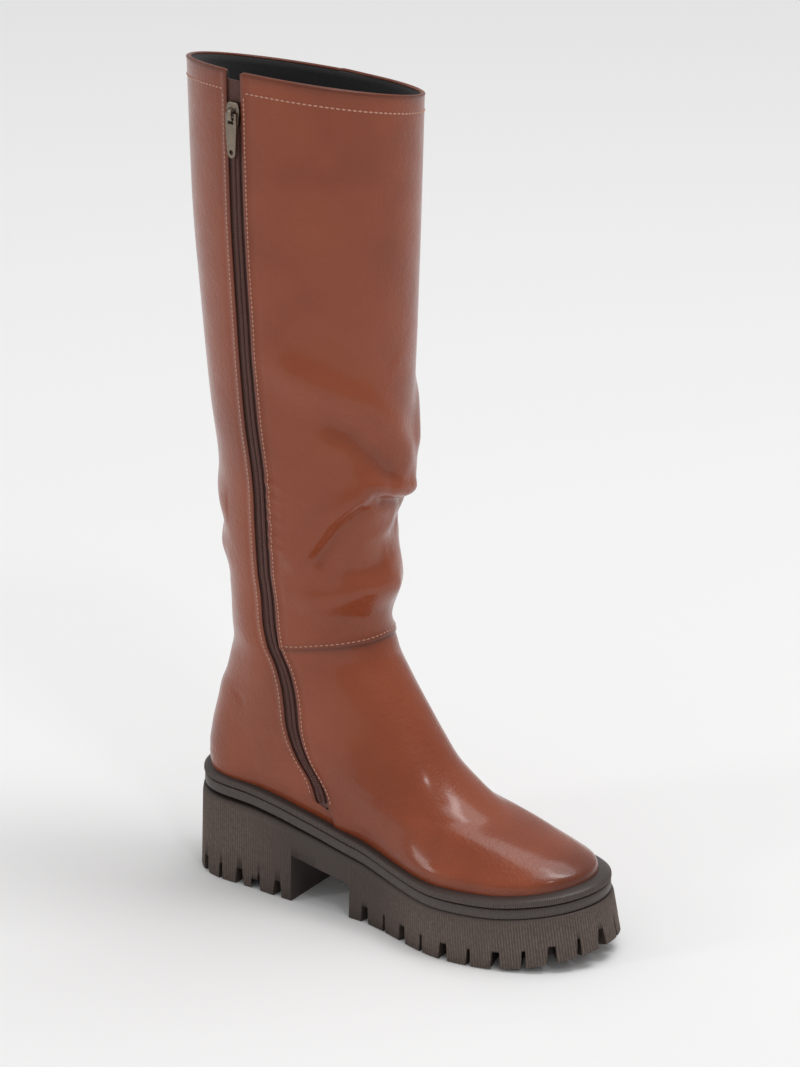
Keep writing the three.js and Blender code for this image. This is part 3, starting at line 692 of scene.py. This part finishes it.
# %% The vamp
VAMP_UNDERLAP = 8
VAMP_TOP = 168
bm, across, up = flat_grid(210, 130)
up = even_up_front(up, FEATHER, VAMP_TOP)
turn, level = spread_panel(
    across, up, vamp_inner_edge, outer_seam, level_line(FEATHER), lambda t: ankle_seam(t) + VAMP_UNDERLAP)
degree = reach_per_degree(turn, level)
to_outer = (outer_seam(level) - turn) * degree
to_inner = (turn - vamp_inner_edge(level)) * degree
under_zip = np.clip((68 - level) / 6, 0, 1)
proud = lap(to_outer) + lap(to_inner) * under_zip + zip_lip(to_inner) * (1 - under_zip)
seams = (to_outer, to_inner, np.abs(ankle_seam(turn) - level))
move_points(bm, skin(turn, level, proud))
note_mask(bm, "burnishing_and_shade", burnishing_and_shade_mask(turn, level, *seams))
vamp = finish_piece(bm, "vamp", leather, ["upper"], outward=False)
thicken(vamp, LEATHER_THICKNESS, RIM)

# %% [markdown]
# ## The front of the shaft
# The front laps over the vamp at the ankle and carries the deepest folds, so it has a close grid. Its two
# side edges are the zip's slot and the outer seam.

# %% The front of the shaft
bm, across, up = flat_grid(150, 215)
turn, level = spread_panel(
    across, up, lambda lv: zip_edge(lv, 1), outer_seam, ankle_seam, level_line(COLLAR))
degree = reach_per_degree(turn, level)
to_outer = (outer_seam(level) - turn) * degree
to_zip = (turn - zip_edge(level, 1)) * degree
to_ankle = level - ankle_seam(turn)
proud = lap(to_outer) + lap(to_ankle) + zip_lip(to_zip)
move_points(bm, skin(turn, level, proud))
note_mask(bm, "burnishing_and_shade", burnishing_and_shade_mask(turn, level, to_outer, to_zip, to_ankle, COLLAR - level))
shaft_front = finish_piece(bm, "shaft_front", leather, outward=False)
thicken(shaft_front, LEATHER_THICKNESS, RIM)

# %% [markdown]
# ## The back panel
# The back is one piece from sole to collar. Its side edges slip under both of its neighbours, as they do
# on a sewn boot, so that no gap shows beside a lap.

# %% The back, from sole to collar round the heel
# Both hidden edges reach under the panels in front, by some degrees of turn.
BACK_UNDER_VAMP, BACK_UNDER_SHAFT = 3, 6


def back_inner_edge(lv):
    """The back follows the zip down, and then slips under the vamp's lap."""
    lap_turn = curve_through(*zip(*LAP_UNDER_ZIP), lv) + BACK_UNDER_VAMP
    return 360 + np.where(lv > ZIP_BOTTOM, zip_edge(lv, -1), lap_turn)


bm, across, up = flat_grid(112, 260)
turn, level = spread_panel(
    across, up, lambda lv: outer_seam(lv) - BACK_UNDER_SHAFT, back_inner_edge,
    level_line(FEATHER), level_line(COLLAR))
degree = reach_per_degree(turn, level)
to_outer = np.abs(turn - outer_seam(level)) * degree
to_zip = (back_inner_edge(level) - turn) * degree
beside_zip = np.clip((level - ZIP_BOTTOM - 2) / 6, 0, 1)
move_points(bm, skin(turn, level, zip_lip(to_zip) * beside_zip))
note_mask(bm, "burnishing_and_shade", burnishing_and_shade_mask(turn, level, to_outer, to_zip, COLLAR - level))
shaft_back = finish_piece(bm, "shaft_back", leather, outward=False)
thicken(shaft_back, LEATHER_THICKNESS, RIM)

# %% [markdown]
# ## Lining, collar edge and the foot bed
# Inside, a black textile lining follows the leather down to the foot bed. At the collar the leather
# is folded over to the inside, which leaves a soft round edge. It is made as a thin tube along the
# collar.

# %% The lining
LINING_DEPTH, LINING_THICKNESS = -2.0, 0.5
bm, across, up = flat_grid(150, 110)
turn, level = spread_panel(
    across, up, lambda lv: zip_edge(lv, 1, 1), lambda lv: 360 + zip_edge(lv, -1, 1),
    level_line(FEATHER + 2.0), level_line(COLLAR - 0.5))
note_cloth_map(bm, turn * 0.9 * MM, level * MM)
move_points(bm, skin(turn, level, LINING_DEPTH))
lining = finish_piece(bm, "lining", lining_cloth, outward=False)
thicken(lining, LINING_THICKNESS, 0)

# %% The folded collar edge
bm, across, up = flat_grid(300, 12)
level = np.full_like(across, COLLAR)
first, last = zip_edge(COLLAR, 1), 360 + zip_edge(COLLAR, -1)
turn = first * (1 - across) + last * across
ring = 2 * np.pi * up
ends = np.clip(np.minimum(across, 1 - across) / 0.004, 0.02, 1)
past_seam = (turn - outer_seam(COLLAR)) * 1.05
over_seam = LAP_RISE * (turn < outer_seam(COLLAR)) * np.exp(-((past_seam / 9) ** 2))
points = skin(turn, level, over_seam - 1.15 + 1.4 * ends * np.cos(ring))
points[:, 2] += (0.9 * ends * np.sin(ring) - 0.1) * MM
move_points(bm, points, merge=1e-5)
bmesh.ops.holes_fill(bm, edges=[e for e in bm.edges if e.is_boundary])
note_mask(bm, "burnishing_and_shade", np.full(len(bm.verts), 0.25))
collar_edge = finish_piece(bm, "collar_edge", edge_leather)

# %% The foot bed keeps its measured shape and gets its cloth
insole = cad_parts["insole"]
insole.data.materials.clear()
insole.data.materials.append(insole_cloth)

# %% [markdown]
# ## Stitches
# A stitch is a short swollen bar of thread between two holes, so each row is many small stretched
# spheres laid end to end along a pattern line. Real geometry is worth it here because the rows catch
# light at the edges.

# %% Laying rows of stitches
def even_places(points, normals, pitch):
    """Places at an even pitch along a line of points, each with its direction and outward normal."""
    steps = np.linalg.norm(np.diff(points, axis=0), axis=1)
    gone = np.concatenate([[0], np.cumsum(steps)])
    count = int(gone[-1] / pitch)
    at = (np.arange(count) + 0.5) * gone[-1] / count
    place = np.stack([np.interp(at, gone, points[:, k]) for k in range(3)], -1)
    out = np.stack([np.interp(at, gone, normals[:, k]) for k in range(3)], -1)
    ahead = np.stack([np.interp(at + pitch * 0.2, gone, points[:, k]) for k in range(3)], -1)
    behind = np.stack([np.interp(at - pitch * 0.2, gone, points[:, k]) for k in range(3)], -1)
    return place, ahead - behind, out


BATCH = 480


def add_batch(bm, batch):
    """Adds a small bmesh to a large one, since an operator is slow in a mesh that is already large."""
    part = bpy.data.meshes.new("batch")
    batch.to_mesh(part)
    batch.free()
    bm.from_mesh(part)
    bpy.data.meshes.remove(part)


def lay_bars(bm, places, ways, outs, size, slant=0.0, rounds=(6, 4)):
    """Small stretched spheres: size is half length, half width and half height in metres."""
    batch = bmesh.new()
    for place, way, out in zip(places.tolist(), ways.tolist(), outs.tolist()):
        if len(batch.verts) > BATCH:
            add_batch(bm, batch)
            batch = bmesh.new()
        forward = Vector(way).normalized()
        side = Vector(out).cross(forward).normalized()
        up_ = forward.cross(side)
        turned = forward * math.cos(slant) + side * math.sin(slant)
        across_ = side * math.cos(slant) - forward * math.sin(slant)
        axes = Matrix((turned, across_, up_)).transposed().to_4x4()
        stretch = Matrix.Diagonal((*size, 1))
        lie_along = Matrix.Rotation(math.pi / 2, 4, "Y")
        matrix = Matrix.Translation(place) @ axes @ stretch @ lie_along
        bmesh.ops.create_uvsphere(
            batch, u_segments=rounds[0], v_segments=rounds[1], radius=1, matrix=matrix)
    add_batch(bm, batch)


def stitch_line(bm, turn, level, proud, pitch=3.0, size=(1.2, 0.5, 0.42)):
    points = skin(turn, level, proud)
    normals = last_normal(turn, level)
    places, ways, outs = even_places(points, normals, pitch * MM)
    lay_bars(bm, places, ways, outs, [s * MM for s in size])
    return len(places)


def line_up(low, high, count=260):
    return np.linspace(low, high, count)


COLLAR_ROW = 461.0
ROW_TOP = 459
THREAD_LIFT = 0.05
ZIP_ROW_INSET, ZIP_ROW_LIFT, ZIP_ROW_PITCH = 2.4, 0.55, 2.6
stitches = bmesh.new()
turns = line_up(zip_edge(COLLAR_ROW + 1, 1, 3), 360 + zip_edge(COLLAR_ROW + 1, -1, 3), 420)
seam_turn = outer_seam(COLLAR_ROW)
rise = np.where(turns < seam_turn, lap((seam_turn - turns) * 1.05), 0)
count = stitch_line(stitches, turns, np.full_like(turns, COLLAR_ROW), rise + THREAD_LIFT)
levels = line_up(66, ROW_TOP)
for side in (1, -1):
    beside = zip_edge(levels, side, ZIP_ROW_INSET)
    over_ankle = lap(np.abs(levels - ankle_seam(beside))) * (levels > ankle_seam(beside))
    rise = over_ankle if side > 0 else levels * 0
    count += stitch_line(stitches, beside, levels, rise + ZIP_ROW_LIFT, ZIP_ROW_PITCH, (0.95, 0.42, 0.36))
levels = line_up(52, ROW_TOP, 300)
for inset in (2.2, 8.6):
    beside = outer_seam(levels) - inset / reach_per_degree(outer_seam(levels), levels)
    above = (levels > ankle_seam(beside)) * lap(np.abs(levels - ankle_seam(beside)))
    count += stitch_line(stitches, beside, levels, lap(inset) + above + THREAD_LIFT)
turns = line_up(-90, 92, 200)
count += stitch_line(
    stitches, turns, ankle_seam(turns) + 2.2, lap(2.2) + THREAD_LIFT, size=(1.1, 0.38, 0.32))
finish_piece(stitches, "topstitching", thread)
print("stitches:", count)

# %% [markdown]
# ## The zip
# A nylon coil zip has two spirals that mesh in the middle of a woven tape. Seen from outside, each
# loop is a short slanted bar, and the two sides make a herringbone. The bars are laid like stitches,
# one slanted row on each side, with a moulded stop at the foot of the chain.

# %% The tape
TAPE_DEPTH, TAPE_LOW, TAPE_HIGH, TAPE_WIDTH, TAPE_THICKNESS = -1.35, 57, 466, 24, 0.6
bm, across, up = flat_grid(12, 260)
level = TAPE_LOW + (TAPE_HIGH - TAPE_LOW) * up
aside = (across - 0.5) * TAPE_WIDTH
turn = zip_turn(level) + aside / np.interp(level, EDGE_LEVELS, SLOT / 2 / HALF_SLOT)
note_cloth_map(bm, aside * MM, level * MM)
move_points(bm, skin(turn, level, TAPE_DEPTH))
tape = finish_piece(bm, "zip_tape_woven", tape_cloth, ["zip_tape"], outward=False)
thicken(tape, TAPE_THICKNESS, 0)

# %% The coils
CHAIN_LOW, CHAIN_HIGH = 62, 449
COIL_ASIDE, COIL_LIFT, COIL_PITCH, COIL_SLANT = 1.45, 0.7, 1.25, 60
COIL_BAR = (1.75, 0.5, 0.85)
coils = bmesh.new()
levels = np.linspace(CHAIN_LOW, CHAIN_HIGH, 700)
for side in (1, -1):
    centre = zip_turn(levels) + side * COIL_ASIDE / np.interp(levels, EDGE_LEVELS, SLOT / 2 / HALF_SLOT)
    points = skin(centre, levels, TAPE_DEPTH + COIL_LIFT)
    places, ways, outs = even_places(points, last_normal(centre, levels), COIL_PITCH * MM)
    lay_bars(coils, places, ways, outs, [s * MM for s in COIL_BAR], side * math.radians(COIL_SLANT))
finish_piece(coils, "zip_coils", coil, ["zip_teeth"])

# %% The stop at the foot of the zip
bm = bmesh.new()
bmesh.ops.create_cube(bm, size=1, matrix=Matrix.Diagonal((7.0 * MM, 3.4 * MM, 1.6 * MM, 1)))
bmesh.ops.bevel(bm, geom=bm.edges[:], offset=0.5 * MM, segments=2, profile=0.5, affect="EDGES", material=-1)
at = np.array([62.5])
low, high = skin(zip_turn(at), at, -1.2)[0], skin(zip_turn(at + 4), at + 4, -1.2)[0]
out = Vector(last_normal(zip_turn(at), at)[0])
along = Vector(high - low).normalized()
aside = along.cross(out).normalized()
turn_to = Matrix((aside, along, out)).transposed().to_4x4()
bm.transform(Matrix.Translation(low.tolist()) @ turn_to)
finish_piece(bm, "zip_stop", coil)

# %% [markdown]
# ## Metal parts
# Slider, pull and plate have the right shapes already, but their edges are knife sharp. A copy of
# each is merged, its flat triangles are joined, and its sharp edges get a small round, as tumbled
# castings have.

# %% Rounding the metal parts
def round_copy(node, name, material, body, width):
    bm = bmesh.new()
    bm.from_mesh(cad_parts[node].data)
    bmesh.ops.remove_doubles(bm, verts=bm.verts, dist=2e-6)
    bmesh.ops.dissolve_limit(bm, angle_limit=math.radians(4), verts=bm.verts, edges=bm.edges)
    sharp = [e for e in bm.edges if len(e.link_faces) == 2 and e.calc_face_angle(0) > math.radians(32)]
    bmesh.ops.bevel(
        bm, geom=sharp, offset=width * MM, segments=2, profile=0.5, affect="EDGES", material=-1,
        clamp_overlap=True)
    return finish_piece(bm, name, material, [node], body)


round_copy("zip_slider", "zip_slider_cast", antique_metal, "boot", 0.22)
round_copy("zip_pull", "zip_pull_tab", antique_metal, "zip_pull", 0.22)
round_copy("side_plate", "blank_side_plate", plate_metal, "boot", 0.25)

# %% [markdown]
# ## The sole
# From the leather down there are a welt with fine ribs and a smooth ledge, a satin band, a dark
# parting line, and a unit sole whose wall is ribbed all round and cut into lugs. The ribs need
# hundreds of points round the edge, spaced evenly along it, so the edge is first measured and then
# divided by its length.

# %% Outlines divided evenly
TREAD = dict(
    back=0, front=270, heel=35, waist=38.5, ball=51.5,
    back_radius=39, front_radius=36, sway=1)
PARTING = dict(
    back=1.5, front=265, heel=34, waist=37, ball=49.5,
    back_radius=38, front_radius=35, sway=1)
BAND_EDGE = dict(
    back=2.5, front=264, heel=33, waist=36, ball=48.5,
    back_radius=37, front_radius=34, sway=1)
WELT_EDGE = dict(
    back=2, front=264, heel=33.5, waist=36.5, ball=49,
    back_radius=37, front_radius=34.5, sway=1)
BREAST, TREAD_START = 79, 119
LUG = dict(height=10, reach=17, wide=6.5, narrow=3, fore=16, heel=13.5)
RISE_START, RISE = 205, 11
SOLE_LENGTH = TREAD["front"]
FINE_TURNS, EVEN_TURNS = 5761, 4001


def outline(section, turn):
    """Place along the sole, middle line and half width of a sole outline at a turn, in table mm."""
    x, centre, half, _ = plan({k: np.float64(v) for k, v in section.items()}, turn)
    return x, centre, half


def even_turns(section, count):
    """Turns that divide an outline into nearly equal lengths, alike on both sides, and its whole length."""
    fine = np.linspace(0, 360, FINE_TURNS)
    x, _, half = outline(section, fine)
    gone = np.concatenate([[0], np.cumsum(np.hypot(np.diff(x), np.diff(half)))])
    return np.interp(np.linspace(0, gone[-1], count), gone, fine), gone[-1]


def tread_height(x):
    return RISE * (np.clip(x - RISE_START, 0, None) / (SOLE_LENGTH - RISE_START)) ** 2


def edge_outward(section, turn):
    """Outward direction of an outline, level with the floor."""
    ahead, behind = outline(section, turn + 0.3), outline(section, turn - 0.3)
    dx, dy = ahead[0] - behind[0], (ahead[1] + ahead[2]) - (behind[1] + behind[2])
    long = np.hypot(dx, dy)
    return dy / long, -dx / long


def ribs(shares, length, pitch):
    """Height of the ribs from 0 to 1 round an outline of this length."""
    number = round(length / pitch)
    return 0.5 + 0.5 * np.cos(2 * np.pi * number * shares)


# %% The ribbed blank of the unit sole
RIB_PITCH, RIB_DEPTH, RIB_POINTS = 1.6, 0.6, 4
_, tread_length = even_turns(TREAD, 10)
columns = 2 * round(tread_length / RIB_PITCH / 2) * RIB_POINTS
ROW_IN = np.array((0, 0.55, 0.93, 0.985, 1, 1, 1, 1, 1, 1, 0.985, 0.9, 0.5, 0))
ROW_UP = np.array((0, 0, 0, 0, 0.02, 0.2, 0.4, 0.6, 0.8, 0.93, 1, 1, 1, 1))
ROW_RIB = np.array((0, 0, 0, 0, 1, 1, 1, 1, 1, 1, 0, 0, 0, 0))
bm, across, up = flat_grid(columns, len(ROW_IN) - 1)
rows = np.round(up * (len(ROW_IN) - 1)).astype(int)
even, _ = even_turns(TREAD, EVEN_TURNS)
turn = np.interp(across, np.linspace(0, 1, EVEN_TURNS), even)
low, high = outline(TREAD, turn), outline(PARTING, turn)
lean = ROW_UP[rows]
x = low[0] * (1 - lean) + high[0] * lean
middle = low[1] * (1 - lean) + high[1] * lean
half = (low[2] * (1 - lean) + high[2] * lean) * ROW_IN[rows]
out_x, out_y = edge_outward(TREAD, turn)
ARCH_BACK, ARCH_FRONT = BREAST + 3, TREAD_START + 1
in_arch = np.clip((x - ARCH_BACK) / 3, 0, 1) * np.clip((ARCH_FRONT - x) / 3, 0, 1)
crest = ribs(across, tread_length, RIB_PITCH) * ROW_RIB[rows] * (1 - in_arch)
push = (crest - 0.5) * RIB_DEPTH * ROW_RIB[rows]
floor_line, top_line = tread_height(x), parting_height(x)
z = floor_line + (top_line - floor_line) * lean
points = np.stack([x + out_x * push, middle + half + out_y * push, z], -1)
move_points(bm, (points + TABLE_TO_FRAME) * MM)
arch_share = np.clip((x - ARCH_BACK) / 6, 0, 1) * np.clip((ARCH_FRONT + 2 - x) / 6, 0, 1)
front_rub = np.clip((x - 125) / 50, 0.25, 1)
heel_rub = np.clip((92 - x) / 50, 0, 1)
rubbed = (0.22 + 0.78 * crest) * np.maximum(front_rub, heel_rub) * (1 - 0.9 * arch_share)
note_mask(bm, "rub", rubbed * (1.0 - 0.35 * np.abs(2 * lean - 1)))
bmesh.ops.remove_doubles(bm, verts=bm.verts, dist=2e-5)
bmesh.ops.recalc_face_normals(bm, faces=bm.faces)
open_edges = sum(e.is_boundary or not e.is_manifold for e in bm.edges)
print("open edges in the sole blank:", open_edges)
outsole = finish_piece(bm, "ribbed_outsole", wall_rubber, ["outsole"])

# %% [markdown]
# ## Lugs and arch
# The lugs are what is left after cutting: an arch between heel and tread, notches round the edge that
# alternate wide and narrow, and sunken panels with cross bars. The tools for the edge and those for
# the panels are two meshes, taken away by two Booleans in turn, because tools that cross inside one
# mesh leave spikes.

# %% Cutting tools
ARCH_TOOL_HALF = 0.07
BELOW_FLOOR, PAST_EDGE, ROOF_NARROWING = 3, 8, 0.6
cutters = bmesh.new()
arch = [
    (BREAST, -10), (BREAST, 28), (TREAD_START - 6, 21), (TREAD_START - 2, 19.8), (TREAD_START, 16),
    (TREAD_START, -10),
]
corners = [
    cutters.verts.new(((x_ + TABLE_TO_FRAME[0]) * MM, -ARCH_TOOL_HALF, z_ * MM)) for x_, z_ in arch]
side_face = cutters.faces.new(corners)
grown = bmesh.ops.extrude_face_region(cutters, geom=[side_face])
moved = [v for v in grown["geom"] if isinstance(v, bmesh.types.BMVert)]
bmesh.ops.translate(cutters, verts=moved, vec=(0, 2 * ARCH_TOOL_HALF, 0))
bmesh.ops.recalc_face_normals(cutters, faces=cutters.faces)


def cut_notch(turn_at, width):
    """A notch in from the edge, narrower at its roof."""
    at_ = np.array([turn_at])
    x_, centre_, half_ = (float(a[0]) for a in outline(TREAD, at_))
    ox, oy = (float(a[0]) for a in edge_outward(TREAD, at_))
    z_ = float(tread_height(np.array([x_]))[0])
    made = bmesh.ops.create_cube(cutters, size=1)["verts"]
    reach, height = LUG["reach"] + PAST_EDGE, LUG["height"] + BELOW_FLOOR
    for v in made:
        narrow = ROOF_NARROWING if v.co.z > 0 else 1.0
        v.co = Vector((v.co.x * reach, v.co.y * width * narrow, v.co.z * height))
    shift = (PAST_EDGE - LUG["reach"]) / 2
    middle_z = z_ + (LUG["height"] - BELOW_FLOOR) / 2
    spot = Vector((x_ + ox * shift, centre_ + half_ + oy * shift, middle_z))
    turned = Matrix.Rotation(math.atan2(oy, ox), 4, "Z")
    place = Matrix.Translation((spot + Vector(TABLE_TO_FRAME)) * MM) @ Matrix.Scale(MM, 4) @ turned
    bmesh.ops.transform(cutters, matrix=place, verts=made)


notches = 0
notched = ((LUG["fore"], TREAD_START + 6, SOLE_LENGTH + 1), (LUG["heel"], -1, BREAST - 7))
for spacing, lowest, highest in notched:
    count = 2 * round(tread_length / spacing / 2)
    stops, _ = even_turns(TREAD, count + 1)
    shifted = np.interp(np.arange(count) + 0.5, np.arange(count + 1), stops)
    for k, turn_at in enumerate(shifted):
        x_ = float(outline(TREAD, np.array([turn_at]))[0][0])
        if lowest <= x_ <= highest:
            cut_notch(turn_at, LUG["wide"] if k % 2 else LUG["narrow"])
            notches += 1
print("notches:", notches)


PANEL_DEPTH = 6
PANEL_WIDTHS = dict(heel=16, waist=19.5, ball=32.5, back_radius=12, front_radius=16)


def cut_pocket(low_x, high_x, panels):
    """Sunken panels of the tread, one between each pair of bars."""
    section = dict(TREAD, back=low_x, front=high_x, **PANEL_WIDTHS)
    for start, end in panels:
        bm_, across_, up_ = flat_grid(96, 5)
        rows_ = np.round(up_ * 5).astype(int)
        x_, centre_, half_ = outline(section, across_ * 360)
        half_ = half_ * np.array((0, 0.6, 1, 1, 0.6, 0))[rows_]
        z_ = np.where(rows_ < 3, -BELOW_FLOOR, tread_height(x_) + PANEL_DEPTH)
        points_ = (np.stack([x_, centre_ + half_, z_], -1) + TABLE_TO_FRAME) * MM
        move_points(bm_, points_, merge=1e-5)
        for plane_x, way in ((start, -1), (end, 1)):
            spot = Vector(((plane_x + TABLE_TO_FRAME[0]) * MM, 0, 0))
            everything = bm_.verts[:] + bm_.edges[:] + bm_.faces[:]
            bmesh.ops.bisect_plane(
                bm_, geom=everything, plane_co=spot, plane_no=(way, 0, 0), clear_outer=True)
            bmesh.ops.holes_fill(bm_, edges=[e for e in bm_.edges if e.is_boundary])
        bmesh.ops.recalc_face_normals(bm_, faces=bm_.faces)
        part = bpy.data.meshes.new("pocket")
        bm_.to_mesh(part)
        bm_.free()
        cutters.from_mesh(part)
        bpy.data.meshes.remove(part)


edge_cutters = cutters
cutters = bmesh.new()
cut_pocket(16, BREAST - 10, ((10, 36.5), (45.5, 75)))
cut_pocket(TREAD_START + 12, 246, ((125, 147.5), (156.5, 175.5), (184.5, 203.5), (212.5, 250)))

# %% Cutting the sole
for tools in (edge_cutters, cutters):
    cutter_mesh = bpy.data.meshes.new("sole_cutters")
    tools.to_mesh(cutter_mesh)
    tools.free()
    cutter = bpy.data.objects.new("sole_cutters", cutter_mesh)
    scene.collection.objects.link(cutter)
    cut = outsole.modifiers.new("lugs", "BOOLEAN")
    cut.operation = "DIFFERENCE"
    cut.solver = "EXACT"
    cut.object = cutter
    bpy.context.view_layer.update()
    graph = bpy.context.evaluated_depsgraph_get()
    carved = bpy.data.meshes.new_from_object(outsole.evaluated_get(graph))
    outsole.modifiers.clear()
    outsole.data = carved
    bpy.data.objects.remove(cutter)
carved.name = "ribbed_outsole"
masks = [a.name for a in carved.attributes if a.domain == "POINT"]
print("carved sole:", len(carved.polygons), "faces, masks", masks)


# %% [markdown]
# ## Band and welt
# Both are strips that run round the boot with a constant profile, so each is one grid wrapped twice:
# once round the boot, and once round its own profile. The welt's outer face has fine upright ribs and
# its ledge is smooth.

# %% A strip wrapped round the boot
def wrapped_strip(name, section, profile, pitch, material, node):
    """Profile rows are inset from the outline, height over the foot bed's edge and share of rib."""
    _, length = even_turns(section, 10)
    count = round(length / pitch) * RIB_POINTS
    bm_, across_, up_ = flat_grid(count, len(profile))
    rows_ = np.round(up_ * len(profile)).astype(int) % len(profile)
    table_ = np.array(profile, float)[rows_]
    even_, _ = even_turns(section, EVEN_TURNS)
    turn_ = np.interp(across_, np.linspace(0, 1, EVEN_TURNS), even_)
    x_, centre_, half_ = outline(section, turn_)
    ox, oy = edge_outward(section, turn_)
    crest_ = ribs(across_, length, pitch)
    inset = table_[:, 0] - (crest_ - 0.5) * table_[:, 2]
    z_ = seat_height(x_) + table_[:, 1]
    points_ = np.stack([x_ - ox * inset, centre_ + half_ - oy * inset, z_], -1)
    move_points(bm_, (points_ + TABLE_TO_FRAME) * MM)
    note_mask(bm_, "rub", np.where(table_[:, 2] > 0, 0.25 + 0.75 * crest_, 0.12))
    bmesh.ops.remove_doubles(bm_, verts=bm_.verts, dist=4e-6)
    return finish_piece(bm_, name, material, [node])


BAND_PROFILE = (
    (6, -6.2, 0), (0.7, -6.2, 0), (0.15, -5.9, 0.06), (0, -5.4, 0.1), (0, -3.4, 0.1),
    (0.05, -1.2, 0.1), (0.5, -0.5, 0.06), (1.4, -0.1, 0), (6, 0, 0),
)
WELT_PROFILE = (
    (8.2, 0.35, 0), (0.9, 0.4, 0), (0.35, 0.7, 0.3), (0.2, 1.2, 0.6), (0.2, 2.4, 0.6), (0.35, 3.4, 0.5),
    (0.9, 4.1, 0), (2.2, 4.6, 0), (4.4, 5.0, 0), (6.6, 5.3, 0), (8.2, 5.2, 0),
)
BAND_PITCH, WELT_PITCH = 1.3, 1.25
wrapped_strip("midsole_band", BAND_EDGE, BAND_PROFILE, BAND_PITCH, band_rubber, "midsole")
wrapped_strip("ribbed_welt", WELT_EDGE, WELT_PROFILE, WELT_PITCH, welt_rubber, "welt")

# %% [markdown]
# ## Floor, light and camera
# A pale floor carries on past the picture's edges. The light is soft from all round, with one broad
# panel overhead and four narrow ones round the boot, which put pale highlights on its folds and toe. The
# camera looks down a little at the toe and the inner side, through a long lens that keeps the proportions.

# %% The floor
bm = bmesh.new()
bmesh.ops.create_grid(bm, x_segments=2, y_segments=2, size=20)
floor_mesh = bpy.data.meshes.new("studio_floor")
bm.to_mesh(floor_mesh)
bm.free()
floor = bpy.data.objects.new("studio_floor", floor_mesh)
scene.collection.objects.link(floor)
floor_finish = bpy.data.materials.new("pale_floor")
floor_finish.use_nodes = True
floor_shader = floor_finish.node_tree.nodes["Principled BSDF"]
floor_shader.inputs["Base Color"].default_value = (0.93, 0.93, 0.93, 1)
floor_shader.inputs["Roughness"].default_value = 0.9
floor_shader.inputs["Specular IOR Level"].default_value = 0.1
floor_mesh.materials.append(floor_finish)

# %% The lights
world = bpy.data.worlds.new("soft_studio")
scene.world = world
world.use_nodes = True
world.node_tree.nodes["Background"].inputs["Color"].default_value = (1, 1, 1, 1)
world.node_tree.nodes["Background"].inputs["Strength"].default_value = 0.5


def soft_panel(name, place, target, size, power):
    light = bpy.data.lights.new(name, "AREA")
    light.shape = "RECTANGLE"
    light.size, light.size_y = size
    light.energy = power
    lamp = bpy.data.objects.new(name, light)
    scene.collection.objects.link(lamp)
    lamp.location = place
    lamp.rotation_euler = (Vector(target) - Vector(place)).to_track_quat("-Z", "Y").to_euler()
    return lamp


soft_panel("overhead_panel", (0.8, 1.2, 6.0), (0, 0, 0), (4.0, 4.0), 120)
soft_panel("window_panel", (0.75, 0.35, 2.6), (0, 0, 0.1), (0.55, 0.9), 11)
soft_panel("left_panel", (-2.0, -2.6, 1.5), (0, 0, 0.25), (0.45, 1.4), 12)
soft_panel("front_panel", (1.9, -1.3, 2.8), (0.1, 0, 0.1), (0.35, 0.35), 7)
soft_panel("back_panel", (-2.4, 0.6, 1.2), (0, 0, 0.3), (0.3, 1.8), 2)

# %% The camera
CAMERA_PLACE = (1.1918, -1.8696, 1.0407)
AIM = Vector((-0.005, 0.0, 0.222))
LENS_MM, CLOSER = 106.45, 1.36
camera_data = bpy.data.cameras.new("camera")
camera_data.sensor_fit = "AUTO"
camera_data.sensor_width = 36
camera_data.lens = LENS_MM * CLOSER
camera_data.clip_end = 100
camera = bpy.data.objects.new("camera", camera_data)
scene.collection.objects.link(camera)
camera.location = CAMERA_PLACE
camera.rotation_euler = (AIM - camera.location).to_track_quat("-Z", "Y").to_euler()
scene.camera = camera
scene.view_settings.view_transform = "Standard"

# %% [markdown]
# ## Bringing the scene up to date
# The view layer is updated once more, so that every piece stands where it was placed.

# %% Updating the scene
bpy.context.view_layer.update()
